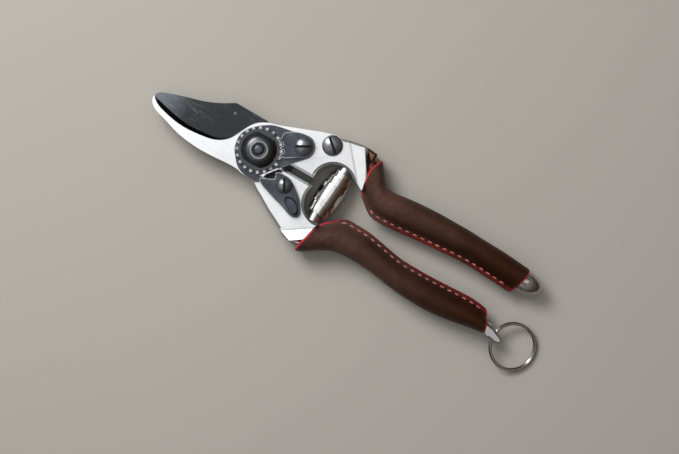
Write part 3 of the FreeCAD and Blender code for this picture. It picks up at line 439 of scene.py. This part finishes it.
def nut_steel():
    """Nut: near black, with painted glints on its tooth tips and a painted highlight at the mouth of its
    thread.
    """
    made, colour, rough, normal = blackened("nut_steel", wear=0.16, smooth=0.20)
    away = made.from_axis()
    dark = made.mix(made.noise(300), (0.046, 0.047, 0.048), (0.074, 0.076, 0.078))
    colour = made.mix(made.fade(away, *NUT_BODY), colour, dark)
    # Painted glints: the tooth tips are painted bright in patches.
    tips = made.both(made.fade(away, *NUT_TIP_GLINTS), made.ramp(made.noise(500, detail=2), 0.3, 0.5))
    colour = made.mix(tips, colour, (0.46, 0.46, 0.45))
    # Painted highlight: a bright ring at the mouth of the thread.
    mouth = made.both(made.fade(away, *MOUTH_GLINT_OUTSIDE), made.fade(away, *MOUTH_GLINT_INSIDE))
    colour = made.mix(mouth, colour, (0.85, 0.85, 0.84))
    return made.feed(Base_Color=colour, Roughness=rough, Normal=normal)


def bolt_steel():
    """Pivot bolt: bright head on the back, its threaded end blackened."""
    made, colour, rough, normal = blackened("bolt_steel", wear=0.10)
    bright = made.mix(made.noise(120, detail=4), TURNED_DULL, TURNED_BRIGHT)
    colour = made.mix(made.fade(made.axis("Z"), *BOLT_BRIGHT), colour, bright)
    return made.feed(Base_Color=colour, Roughness=rough, Normal=normal)


def turned_steel():
    """Washers, bushing and rivets: bright steel with fine turning marks."""
    made = Shader("turned_steel", Metallic=1.0)
    cloud = made.noise(120, detail=4)
    rings = made.node("ShaderNodeTexWave", wave_type="RINGS", rings_direction="Z")
    rings.inputs["Scale"].default_value = 700
    rings.inputs["Distortion"].default_value = 0.4
    made.link(made.place, rings.inputs["Vector"])
    return made.feed(Base_Color=made.mix(cloud, TURNED_DULL, TURNED_BRIGHT),
                     Roughness=made.ramp(cloud, 0.3, 0.7, 0.18, 0.34),
                     Normal=made.bump(rings.outputs["Fac"], 0.02, 0.3))


def spring_chrome():
    """Plated spring strip: near mirror with faint rolling marks."""
    made = Shader("spring_chrome", Metallic=1.0)
    marks = made.noise(420, detail=4, rough=0.6, vector=made.stretched((1, 6, 1)))
    return made.feed(Base_Color=made.mix(marks, (0.60, 0.59, 0.57), (0.76, 0.75, 0.73)),
                     Roughness=made.ramp(marks, 0.3, 0.7, 0.06, 0.15),
                     Normal=made.bump(marks, 0.01, 0.2))


def nickel_ring():
    """Split ring: nickel plated flat wire, its flanks painted dark as painted shade and dark reflection."""
    made = Shader("nickel_ring", Metallic=1.0)
    marks = made.noise(700, detail=5, rough=0.65)
    colour = made.mix(made.ramp(marks, 0.35, 0.65), (0.66, 0.64, 0.60), (0.84, 0.82, 0.78))
    # Painted shade and dark reflection: faces that turn away from up are painted near black.
    level = made.math("ABSOLUTE", made.upward(), 0)
    colour = made.mix(made.ramp(level, 0.92, 0.80), colour, (0.045, 0.042, 0.038))
    return made.feed(Base_Color=colour, Roughness=made.ramp(marks, 0.3, 0.7, 0.10, 0.26),
                     Normal=made.bump(marks, 0.02, 0.25))


# ---- rubber, leather, paint, thread and floor ----

# X in mm between which the leather darkens, from the head to the handle's end.
LEATHER_DARKENS = (52, 118)


def black_rubber():
    """Bumper: matt and faintly grained."""
    made = Shader("black_rubber", Specular_IOR_Level=0.35)
    grain = made.noise(2200)
    colour = made.mix(grain, (0.010, 0.010, 0.010), (0.028, 0.027, 0.026))
    return made.feed(Base_Color=colour, Roughness=made.ramp(grain, 0.3, 0.7, 0.55, 0.75),
                     Normal=made.bump(grain, 0.04, 0.4))


def brown_leather():
    """Dyed leather, paler near the head and darker towards the handle's end: fine pores, clouds and pale
    scuffs.
    """
    made = Shader("brown_leather", Specular_IOR_Level=0.11, Sheen_Weight=0.02, Sheen_Roughness=0.5)
    made.surface.inputs["Specular Tint"].default_value = (1.0, 0.66, 0.52, 1.0)
    made.surface.inputs["Sheen Tint"].default_value = (0.55, 0.36, 0.30, 1.0)
    cloud = made.noise(55, detail=5, rough=0.6)
    pores = made.cells(1500)
    grain = made.noise(900, detail=4, rough=0.6)
    creases = made.noise(170, detail=6, rough=0.65, vector=made.stretched((1, 2.2, 1)))
    from_head = made.fade(made.axis("X"), *LEATHER_DARKENS)
    light = made.mix(from_head, (0.088, 0.045, 0.034), (0.036, 0.0115, 0.0045))
    deep = made.mix(from_head, (0.042, 0.020, 0.0145), (0.019, 0.0055, 0.0020))
    dyed = made.mix(made.ramp(cloud, 0.32, 0.68), deep, light)
    worn = made.both(made.ramp(made.noise(210, detail=6, rough=0.75), 0.60, 0.74),
                     made.ramp(cloud, 0.42, 0.60))
    colour = made.mix(made.both(worn, 0.45), dyed, (0.19, 0.105, 0.075))
    rough = made.ramp(made.math("ADD", grain, worn), 0.3, 1.2, 0.42, 0.66)
    soft = made.bump(creases, 0.22, 0.40)
    fine = made.bump(grain, 0.14, 0.55, soft)
    return made.feed(Base_Color=colour, Roughness=rough, Normal=made.bump(pores, 0.08, 0.45, fine))


def edge_paint(name, thin, full):
    """Painted edge of the leather: the paint is thin in places, so the brown shows through."""
    made = Shader(name, Specular_IOR_Level=0.12)
    made.surface.inputs["Specular Tint"].default_value = (1.0, 0.60, 0.55, 1.0)
    patch = made.noise(330, detail=5, rough=0.65)
    stretch = made.noise(38, detail=2)
    share = made.math("ADD", made.both(patch, 0.5), made.both(stretch, 0.5))
    colour = made.mix(made.ramp(share, 0.36, 0.62), thin, full)
    return made.feed(Base_Color=colour, Roughness=made.ramp(patch, 0.3, 0.7, 0.38, 0.60),
                     Normal=made.bump(patch, 0.10, 0.4))


def red_thread():
    """Waxed two-ply thread: pink where the light catches it."""
    made = Shader("red_thread", Sheen_Weight=0.3, Sheen_Roughness=0.4)
    fibre = made.noise(3800)
    shade = made.noise(260)
    colour = made.mix(made.ramp(shade, 0.3, 0.7), (0.37, 0.065, 0.07), (0.66, 0.25, 0.25))
    return made.feed(Base_Color=colour, Roughness=made.ramp(fibre, 0.3, 0.7, 0.45, 0.7),
                     Normal=made.bump(fibre, 0.06, 0.5))


def plain_floor():
    """Pale, matt and slightly clouded."""
    made = Shader("plain_floor", Roughness=0.85, Specular_IOR_Level=0.2)
    return made.feed(Base_Color=made.mix(made.noise(4), (0.395, 0.370, 0.330), (0.425, 0.400, 0.358)))


# ---- finishes of the CAD parts that stay ----

ALUMINIUM = forged_aluminium()
SATIN = satin_steel()
COATED = coated_blade()
BLACKENED = blackened_steel()
TANG_STEEL = polished_screw("tang_screw_steel", slot_level=15.1)
SEGMENT_STEEL = polished_screw("segment_screw_steel", slot_level=18.5)
CATCH_STEEL = polished_screw("catch_screw_steel", slot_level=19.0)
PLATE = rubbed_and_highlit_plate()
NUT = nut_steel()
BOLT = bolt_steel()
TURNED = turned_steel()
CHROME = spring_chrome()
NICKEL = nickel_ring()
RUBBER = black_rubber()
LEATHER = brown_leather()
# Two copies of one red edge paint: the seam's is darker as painted shade, the cuts' brighter as painted
# light.
SHADED_SEAM_PAINT = edge_paint("seam_paint", thin=(0.048, 0.009, 0.006), full=(0.150, 0.012, 0.011))
LIT_CUT_PAINT = edge_paint("cut_paint", thin=(0.30, 0.016, 0.022), full=(0.52, 0.038, 0.050))
THREAD = red_thread()

FINISHES = {
    ALUMINIUM: ["upper_handle", "lower_handle"],
    SATIN: ["counter_blade"],
    COATED: ["cutting_blade"],
    BLACKENED: ["toothed_segment", "thumb_catch"],
    TANG_STEEL: ["tang_screw", "tang_nut"],
    SEGMENT_STEEL: ["segment_screw"],
    CATCH_STEEL: ["catch_screw"],
    PLATE: ["lock_plate"],
    NUT: ["pivot_nut"],
    BOLT: ["pivot_bolt"],
    TURNED: ["thrust_washer", "pivot_bushing", "blade_rivets", "catch_washer"],
    NICKEL: ["key_ring"],
    RUBBER: ["bumper"],
}
# Width in mm of a bevel. The frame's meshes are split along their hard edges, where a bevel can't work,
# so this only touches two joined edges on each of these parts: every part's hard edges stay sharp.
EDGE_ROUNDING = {"lower_handle": 0.30, "cutting_blade": 0.12}
ROUNDING_STEPS = 3
HARD_EDGE = math.radians(32)


def finish_cad_nodes():
    """Materials on the CAD parts that stay, and a bevel on the few edges that one can reach."""
    for material, nodes in FINISHES.items():
        for node in nodes:
            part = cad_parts[node]
            part.data.materials.clear()
            part.data.materials.append(material)
            if node in EDGE_ROUNDING:
                bevel = part.modifiers.new("edge_rounding", "BEVEL")
                bevel.width = EDGE_ROUNDING[node] * MM
                bevel.segments = ROUNDING_STEPS
                bevel.limit_method = "ANGLE"
                bevel.angle_limit = HARD_EDGE
                bevel.use_clamp_overlap = True


# ---- leather sleeves ----

LEATHER_THICK = 1.5 * MM
BODY_POWER = 2.25
LINING_TURN = 0.4
# The seam: how far it stands out, half its thickness, its level over the rest plane, the height from
# the body's middle where it leaves the body, its hollow flanks' power, and its loss per depth.
SEAM_REACH = 3.1 * MM
SEAM_HALF = 1.35 * MM
SEAM_LEVEL = 9.0 * MM
SEAM_ROOT = 4.4 * MM
SEAM_HOLLOW = 3.4
SEAM_NARROWS = 0.3
# The seam's rounded tip: where its faces start, its powers and length, and the dent between the layers.
TIP_BACK = 0.10
TIP_ROUND = 0.5
TIP_LONG = 0.7
TIP_DENT = 0.5
DENT_SHARP = 8
# Points round a section and sections along a sleeve.
FIN_STEPS = 14
BODY_STEPS = 64
TIP_STEPS = 6
RINGS = 190
LINING_RINGS = 60
CUT_PASSES = 5
# The leather's cut ends: how far the skin stops short of them, then the depth and shift of each ring
# that rounds the edge.
SKIN_BACK = 0.75 * MM
CUT_ROUNDING = [(0.22 * MM, 0.38 * MM), (0.6 * MM, 0.12 * MM), (1.1 * MM, 0.0), (1.5 * MM, 0.0)]
# Swellings of the skin in mm, as (length, height), and the folds beyond the head.
BROAD_SWELL = (13.0, 0.16)
FINE_SWELL = (4.5, 0.06)
FINE_SWELL_SHIFT = Vector((9, 4, 2))
FOLDS_FROM_HEAD = 9
FOLDS_SPREAD = 7.0
FOLD_HIGH = 0.07
FOLD_RATE = 1.9
FOLD_WANDER = 5
FOLD_WANDER_LONG = 6.0
# Unevenness of the painted border, in mm: its height and its length.
PAINT_WOBBLE = 0.3
PAINT_WOBBLE_LONG = 3.5
# Material slots of a sleeve.
SKIN, SEAM, CUT = 0, 1, 2

# Sleeve outlines in mm: (x, lowest y, highest y), then the curved cuts at the head and at the end.
UPPER_EDGES = [(46, 6.8, 25.4), (49, 5.6, 24.6), (52, 3.2, 21.6), (55, 0.8, 17.4), (58, -1.0, 14.5),
               (62, -1.4, 13.9), (70, -0.9, 15.0), (80, 0.0, 15.8), (90, 0.9, 16.1), (100, 1.7, 16.1),
               (110, 1.9, 15.7), (120, 1.4, 15.4), (127, 1.0, 14.9), (134, 1.4, 14.2)]
LOWER_EDGES = [(34, -31.4, -14.6), (38, -30.4, -14.2), (42, -28.0, -12.4), (46, -25.3, -9.2),
               (50, -23.2, -7.0), (55, -22.2, -6.9), (62, -22.0, -7.2), (70, -22.5, -8.6),
               (80, -23.9, -10.3), (90, -24.9, -10.5), (100, -25.0, -10.2), (110, -23.9, -9.7),
               (120, -22.1, -9.8), (129, -20.9, -11.8)]
UPPER_HEAD_CUT = [(50.6, 25.6), (49.1, 22.2), (48.0, 19.7), (47.2, 16.5), (47.7, 12.6), (48.6, 8.0),
                  (49.6, 4.0)]
LOWER_HEAD_CUT = [(35.3, -33.0), (36.2, -27.0), (37.2, -23.6), (38.0, -20.0), (39.0, -16.6),
                  (41.5, -13.4), (44.8, -10.8), (47.9, -5.0)]
UPPER_END_CUT = [(128.6, -1.0), (130.4, 3.5), (131.7, 8.0), (132.4, 12.0), (132.6, 17.0)]
LOWER_END_CUT = [(121.5, -7.5), (124.4, -11.0), (126.4, -14.5), (127.6, -17.4), (128.6, -23.0)]
# How far the red paint comes in from each seam's edge, in mm: (x, reach).
UPPER_PAINT = [(52, 0.5), (58, 0.5), (66, 0.7), (74, 1.4), (90, 1.6), (110, 1.8), (130, 2.0)]
LOWER_PAINT = [(40, 1.0), (46, 0.9), (52, 0.4), (70, 0.5), (90, 0.9), (104, 1.3), (118, 1.8), (126, 2.0)]


def superellipse(turn):
    """Across and upward shares of the grip's section at this angle from the seam."""
    across = math.copysign(abs(math.cos(turn)) ** (2 / BODY_POWER), math.cos(turn))
    upward = math.copysign(abs(math.sin(turn)) ** (2 / BODY_POWER), math.sin(turn))
    return across, upward


class Sleeve:
    """Leather tube pinched into a two-layer seam on the side that faces the other grip."""

    def __init__(self, node, body, inward, outline, head_cut, end_cut, paint_line):
        self.node, self.body, self.inward, self.paint_line = node, body, inward, paint_line
        self.lows = [(place * MM, low * MM) for place, low, high in outline]
        self.highs = [(place * MM, high * MM) for place, low, high in outline]
        self.head_cut = sorted((across * MM, place * MM) for place, across in head_cut)
        self.end_cut = sorted((across * MM, place * MM) for place, across in end_cut)
        low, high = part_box(node)
        self.middle = (low.z + high.z) / 2
        self.half_high = (high.z - low.z) / 2
        self.root_turn = math.asin((SEAM_ROOT / self.half_high) ** (BODY_POWER / 2))
        self.columns = self.make_columns()

    def make_columns(self):
        """One (kind, amount) pair per point of a section, from the seam's tip over the top and back."""
        columns = []
        for step in range(FIN_STEPS):
            columns.append(("top", (step + 0.5) / FIN_STEPS))
        for step in range(BODY_STEPS + 1):
            share = step / BODY_STEPS
            columns.append(("body", self.root_turn + share * (2 * math.pi - 2 * self.root_turn)))
        for step in reversed(range(FIN_STEPS)):
            columns.append(("bottom", (step + 0.5) / FIN_STEPS))
        for step in range(TIP_STEPS):
            columns.append(("tip", -0.5 * math.pi + math.pi * (step + 0.5) / TIP_STEPS))
        return columns

    def sides(self, place):
        """Seam edge, body centre and body half width at this x."""
        low, high = blend_curve(self.lows, place), blend_curve(self.highs, place)
        seam, outer = (low, high) if self.inward < 0 else (high, low)
        body_edge = seam - self.inward * SEAM_REACH
        return seam, (outer + body_edge) / 2, abs(outer - body_edge) / 2

    def body_point(self, place, turn, depth):
        """(y, z) on the oval body at this angle, this far below the leather's surface."""
        seam, centre, half = self.sides(place)
        across, upward = superellipse(turn)
        return (centre + self.inward * (half - depth) * across,
                self.middle + (self.half_high - depth) * upward)

    def seam_point(self, place, back_share, side):
        """Point on the seam's upper or lower face, at a share of the way from its edge to the body."""
        seam, centre, half = self.sides(place)
        across, upward = superellipse(self.root_turn)
        root_y = centre + self.inward * half * across
        root_rise = self.middle + side * self.half_high * upward - SEAM_LEVEL
        rise = side * SEAM_HALF + (root_rise - side * SEAM_HALF) * back_share ** SEAM_HOLLOW
        return seam + (root_y - seam) * back_share, SEAM_LEVEL + rise

    def tip_point(self, place, turn):
        """Point on the seam's rounded edge, dented between its layers."""
        seam, centre, half = self.sides(place)
        dent = 1 - TIP_DENT * math.cos(turn) ** DENT_SHARP
        y = seam - self.inward * SEAM_HALF * (1 - dent * math.cos(turn) ** TIP_ROUND) * TIP_LONG
        return y, SEAM_LEVEL + SEAM_HALF * math.sin(turn)

    def point(self, place, column, depth=0.0):
        """(y, z) of a section point at this x, this far below the leather's surface."""
        kind, amount = column
        if kind == "body":
            return self.body_point(place, amount, depth)
        if kind == "tip":
            y, z = self.tip_point(place, amount)
        else:
            back = TIP_BACK + (1 - TIP_BACK) * amount
            y, z = self.seam_point(place, back, 1 if kind == "top" else -1)
        shrink = min(depth / LEATHER_THICK, 1.0)
        return y - self.inward * depth * SEAM_NARROWS, SEAM_LEVEL + (z - SEAM_LEVEL) * (1 - shrink)

    def lining(self, place, column):
        """(y, z) on the inner wall, which is a plain oval."""
        kind, amount = column
        turn = {"body": amount, "top": LINING_TURN, "bottom": -LINING_TURN, "tip": 0.0}[kind]
        return self.body_point(place, turn, LEATHER_THICK)

    def ring(self, share, shift, depth=0.0, lining=False):
        """A ring of points at a share of the sleeve's length, moved by shift along x."""
        ring = []
        guess = self.head_cut[0][1] + share * (self.end_cut[0][1] - self.head_cut[0][1])
        for column in self.columns:
            place = guess
            for _ in range(CUT_PASSES):
                y, z = self.lining(place, column) if lining else self.point(place, column, depth)
                start, end = blend_curve(self.head_cut, y), blend_curve(self.end_cut, y)
                place = start + share * (end - start) + shift
            if not lining and depth == 0.0:
                y, z = self.creased(place, y, z)
            ring.append(Vector((place, y, z)))
            guess = place
        return ring

    def creased(self, place, y, z):
        """Hand-worn leather: the skin swells and sinks a little, with folds near the head."""
        seam, centre, half = self.sides(place)
        outward = Vector((0, y - centre, z - self.middle)).normalized()
        spot = Vector((place, y, z)) / MM
        swell = noise.noise(spot / BROAD_SWELL[0]) * BROAD_SWELL[1]
        swell += noise.noise(spot / FINE_SWELL[0] + FINE_SWELL_SHIFT) * FINE_SWELL[1]
        from_head = (place - self.head_cut[0][1]) / MM
        fold = math.exp(-((from_head - FOLDS_FROM_HEAD) / FOLDS_SPREAD) ** 2)
        wander = FOLD_WANDER * noise.noise(spot / FOLD_WANDER_LONG)
        swell += fold * FOLD_HIGH * math.sin(from_head * FOLD_RATE + wander)
        moved = Vector((0, y, z)) + outward * swell * MM
        return moved.y, moved.z

    def build(self):
        """Outer skin, rounded red cut at both ends, and the lining."""
        rings = []
        for depth, shift in reversed(CUT_ROUNDING):
            rings.append(self.ring(0.0, shift, depth))
        for step in range(RINGS):
            share = step / (RINGS - 1)
            rings.append(self.ring(share, SKIN_BACK * (1 - 2 * share)))
        for depth, shift in CUT_ROUNDING:
            rings.append(self.ring(1.0, -shift, depth))
        for step in range(LINING_RINGS):
            share = 1 - step / (LINING_RINGS - 1)
            rings.append(self.ring(share, 0.0, lining=True))
        count = len(self.columns)
        points = [point for ring in rings for point in ring]
        faces = grid_faces(len(rings), count)
        last = (len(rings) - 1) * count
        for column in range(count):
            beside = (column + 1) % count
            faces.append((last + column, last + beside, beside, column))
        piece = new_object(self.node + "_leather", points, faces)
        self.paint(piece, count)
        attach(piece, self.body)
        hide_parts(self.node)

    def near_edge(self, spot):
        """Whether the hand-laid paint reaches this point of the seam."""
        seam, centre, half = self.sides(spot.x)
        reach = blend_curve(self.paint_line, spot.x / MM) * MM
        wobble = PAINT_WOBBLE * MM * noise.noise(Vector((spot.x / MM / PAINT_WOBBLE_LONG, self.inward, 0)))
        return abs(spot.y - seam) < reach + wobble

    def paint(self, piece, count):
        """Red paint on the seam's edge and on both end cuts."""
        for material in (LEATHER, SHADED_SEAM_PAINT, LIT_CUT_PAINT):
            piece.data.materials.append(material)
        caps = len(CUT_ROUNDING)
        painted = []
        for polygon in piece.data.polygons:
            rows = sorted(vertex // count for vertex in polygon.vertices)
            kinds = [self.columns[vertex % count][0] for vertex in polygon.vertices]
            if rows[-1] <= caps or rows[0] >= caps + RINGS - 1:
                painted.append(CUT)
            elif "body" not in kinds and self.near_edge(polygon.center):
                painted.append(SEAM)
            else:
                painted.append(SKIN)
        piece.data.polygons.foreach_set("material_index", painted)


# ---- stitches ----

# A stitch: its place from the seam's edge to the body, half its length, how far its middle lies on the
# leather and its ends go in, and its unevenness along the seam.
STITCH_BACK = 0.52
STITCH_HALF = 1.12 * MM
STITCH_LIFT = 0.22 * MM
STITCH_DIVE = 0.75 * MM
STITCH_WANDER = 0.25 * MM
WANDER_RATE = 0.7
THREAD_RADIUS = 0.34 * MM
THREAD_SIDES = 10
THREAD_RINGS = 13
PLY_DEEP = 0.14
PLY_TWIST = 2.6


def stitch_points(sleeve, place, side):
    """One two-ply stitch that comes out of the leather, lies on it and goes back in."""
    ahead = sleeve.seam_point(place + STITCH_HALF, STITCH_BACK, side)
    behind = sleeve.seam_point(place - STITCH_HALF, STITCH_BACK, side)
    along = Vector((2 * STITCH_HALF, ahead[0] - behind[0], ahead[1] - behind[1])).normalized()
    upward = Vector((0, 0, side))
    aside = along.cross(upward).normalized()
    points = []
    for step in range(THREAD_RINGS):
        share = 2 * step / (THREAD_RINGS - 1) - 1
        y, z = sleeve.seam_point(place + share * STITCH_HALF, STITCH_BACK, side)
        lift = STITCH_LIFT - STITCH_DIVE * abs(share) ** 4
        middle = Vector((place + share * STITCH_HALF, y, z)) + upward * lift
        for corner in range(THREAD_SIDES):
            turn = 2 * math.pi * corner / THREAD_SIDES
            ply = 1 - PLY_DEEP + PLY_DEEP * math.cos(2 * (turn - share * PLY_TWIST))
            points.append(middle + THREAD_RADIUS * ply * (math.cos(turn) * aside + math.sin(turn) * upward))
    return points


def sew(sleeve, node, first, last, count):
    """A run of stitches on both faces of a seam, between two x in mm, a little uneven as by hand."""
    points, faces = [], []
    for number in range(count):
        place = (first + (last - first) * number / (count - 1)) * MM
        place += STITCH_WANDER * noise.noise(Vector((number * WANDER_RATE, first, 0)))
        for side in (1, -1):
            start = len(points)
            points += stitch_points(sleeve, place, side)
            faces += grid_faces(THREAD_RINGS, THREAD_SIDES, start)
            end = start + (THREAD_RINGS - 1) * THREAD_SIDES
            faces.append(tuple(start + corner for corner in range(THREAD_SIDES)))
            faces.append(tuple(end + corner for corner in range(THREAD_SIDES)))
    piece = new_object(node + "_thread", points, faces)
    piece.data.materials.append(THREAD)
    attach(piece, sleeve.body)
    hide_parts(node)


# ---- double volute spring ----

# Coil radius and shift along the spring's axis in mm, by turns from its middle.
SPRING_RADII = [(0.0, 5.65), (0.5, 5.65), (1.5, 5.0), (2.5, 4.15)]
SPRING_SHIFTS = [(0.0, 0.0), (0.5, 0.5), (1.5, 5.0), (2.5, 7.5)]
SPRING_TURNS = 2.45
SPRING_LEAN = math.radians(4.1)
STEPS_PER_TURN = 72
STRIP_HALF = 4.35 * MM
STRIP_THICK = 0.5 * MM
TAPER_TURNS = 0.25
TAPER_END = 0.35
# The strip's section with rounded corners: shares of its half width along the axis, and of its half
# thickness outwards.
STRIP_SECTION = [(-1.0, -0.7), (-0.97, -1.0), (-0.5, -1.0), (0.0, -1.0), (0.5, -1.0), (0.97, -1.0),
                 (1.0, -0.7), (1.0, 0.6), (0.98, 0.9), (0.94, 1.0), (0.5, 1.0), (0.0, 1.0), (-0.5, 1.0),
                 (-0.94, 1.0), (-0.98, 0.9), (-1.0, 0.6)]


def spring_ends(low, high):
    """Lower and upper end of the spring's axis: it leans a little from straight across the handles."""
    middle = (low + high) / 2
    half = (high.y - low.y) / 2 * Vector((math.sin(SPRING_LEAN), math.cos(SPRING_LEAN), 0))
    return middle - half, middle + half


def volute_spring():
    """One flat strip wound widest in the middle and narrowest at both ends, so its coils telescope."""
    low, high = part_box("volute_spring")
    centre = (low + high) / 2
    foot, top = spring_ends(low, high)
    axis = (top - foot).normalized()
    aside = axis.cross(Vector((0, 0, 1))).normalized()
    upward = aside.cross(axis)
    rows = int(2 * SPRING_TURNS * STEPS_PER_TURN)
    points = []
    for row in range(rows + 1):
        turns = -SPRING_TURNS + 2 * SPRING_TURNS * row / rows
        side = math.copysign(1, turns)
        radius = blend_curve(SPRING_RADII, abs(turns)) * MM
        shift = side * blend_curve(SPRING_SHIFTS, abs(turns)) * MM
        around = math.cos(2 * math.pi * turns) * aside + math.sin(2 * math.pi * turns) * upward
        edge = STRIP_HALF * min(1.0, (SPRING_TURNS - abs(turns)) / TAPER_TURNS + TAPER_END)
        shift += side * (STRIP_HALF - edge)
        for along, out in STRIP_SECTION:
            points.append(centre + axis * (shift + along * edge)
                          + around * (radius + out * STRIP_THICK / 2))
    count = len(STRIP_SECTION)
    faces = grid_faces(rows + 1, count)
    faces.append(tuple(range(count)))
    faces.append(tuple(rows * count + column for column in range(count)))
    piece = new_object("volute_strip", points, faces)
    piece.data.materials.append(CHROME)
    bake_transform(piece)
    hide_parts("volute_spring")


# ---- stage, light and camera ----

FLOOR_REACH = 2.5
FLOOR_GAP = 0.02 * MM
# Lights: place from the object's middle and width in metres, and power in watts.
KEY_LIGHT = (Vector((-0.42, 0.16, 0.55)), 0.34, 3.6)
TOP_LIGHT = (Vector((-0.40, 0.02, 1.0)), 1.5, 4.2)
# The room: upward share of the view where it is dimmest and brightest, with its strength there, then
# the X share where it is cool and where it is warm, with its colour there.
ROOM_RISE = (0.05, 0.85)
ROOM_STRENGTH = (0.04, 0.46)
ROOM_SIDES = (-0.1, 0.7)
ROOM_COOL = (0.92, 0.95, 1.0, 1)
ROOM_WARM = (0.30, 0.20, 0.13, 1)
# The picture: its middle on the object, its width there, its roll, and the camera's distance.
PICTURE_CENTRE = Vector((48.3, -11.8, 12.0)) * MM
PICTURE_WIDE = 304.9 * MM
PICTURE_ROLL = math.radians(30)
CAMERA_AWAY = 0.85
SENSOR_WIDE = 36.0


def area_light(name, middle, setting):
    """A round area light that faces the object's middle."""
    offset, wide, power = setting
    light = bpy.data.lights.new(name, "AREA")
    light.shape = "DISK"
    light.size = wide
    light.energy = power
    lamp = bpy.data.objects.new(name, light)
    lamp.location = middle + offset
    lamp.rotation_euler = (middle - lamp.location).to_track_quat("-Z", "Y").to_euler()
    bpy.context.scene.collection.objects.link(lamp)


def soft_room():
    """Dim surroundings, brighter towards the ceiling and darker and warmer on the right."""
    world = bpy.data.worlds.new("soft_room")
    world.use_nodes = True
    nodes, links = world.node_tree.nodes, world.node_tree.links
    direction = nodes.new("ShaderNodeTexCoord").outputs["Generated"]
    split = nodes.new("ShaderNodeSeparateXYZ")
    links.new(direction, split.inputs["Vector"])
    rise = nodes.new("ShaderNodeMapRange")
    rise.inputs["From Min"].default_value, rise.inputs["From Max"].default_value = ROOM_RISE
    rise.inputs["To Min"].default_value, rise.inputs["To Max"].default_value = ROOM_STRENGTH
    links.new(split.outputs["Z"], rise.inputs["Value"])
    links.new(rise.outputs["Result"], nodes["Background"].inputs["Strength"])
    side = nodes.new("ShaderNodeMapRange")
    side.inputs["From Min"].default_value, side.inputs["From Max"].default_value = ROOM_SIDES
    links.new(split.outputs["X"], side.inputs["Value"])
    tint = nodes.new("ShaderNodeMix")
    tint.data_type = "RGBA"
    links.new(side.outputs["Result"], tint.inputs["Factor"])
    tint.inputs[6].default_value = ROOM_COOL
    tint.inputs[7].default_value = ROOM_WARM
    links.new(tint.outputs[2], nodes["Background"].inputs["Color"])
    return world


def stage():
    """Pale floor, a soft key from the blade side and a broad light overhead."""
    low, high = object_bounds()
    level = min(low.z, 0.0) - FLOOR_GAP
    corners = [(-FLOOR_REACH, -FLOOR_REACH, level), (FLOOR_REACH, -FLOOR_REACH, level),
               (FLOOR_REACH, FLOOR_REACH, level), (-FLOOR_REACH, FLOOR_REACH, level)]
    floor = new_object("floor", corners, [(0, 1, 2, 3)])
    floor.data.materials.append(plain_floor())
    floor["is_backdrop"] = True
    middle = (low + high) / 2
    area_light("key", middle, KEY_LIGHT)
    area_light("top", middle, TOP_LIGHT)
    bpy.context.scene.world = soft_room()


def camera():
    """Straight above the shears, turned so that they lie from the upper left to the lower right."""
    data = bpy.data.cameras.new("camera")
    data.sensor_width = SENSOR_WIDE
    data.lens = data.sensor_width * CAMERA_AWAY / PICTURE_WIDE
    seen_from = bpy.data.objects.new("camera", data)
    seen_from.location = PICTURE_CENTRE + Vector((0, 0, CAMERA_AWAY))
    seen_from.rotation_euler = (0, 0, PICTURE_ROLL)
    bpy.context.scene.collection.objects.link(seen_from)
    bpy.context.scene.camera = seen_from


camera()
bpy.context.scene.view_settings.view_transform = "Standard"
finish_cad_nodes()
upper_sleeve = Sleeve("upper_sleeve", UPPER, -1, UPPER_EDGES, UPPER_HEAD_CUT, UPPER_END_CUT, UPPER_PAINT)
lower_sleeve = Sleeve("lower_sleeve", LOWER, 1, LOWER_EDGES, LOWER_HEAD_CUT, LOWER_END_CUT, LOWER_PAINT)
upper_sleeve.build()
lower_sleeve.build()
sew(upper_sleeve, "upper_stitching", first=57.4, last=124.0, count=19)
sew(lower_sleeve, "lower_stitching", first=49.3, last=120.4, count=20)
volute_spring()
stage()
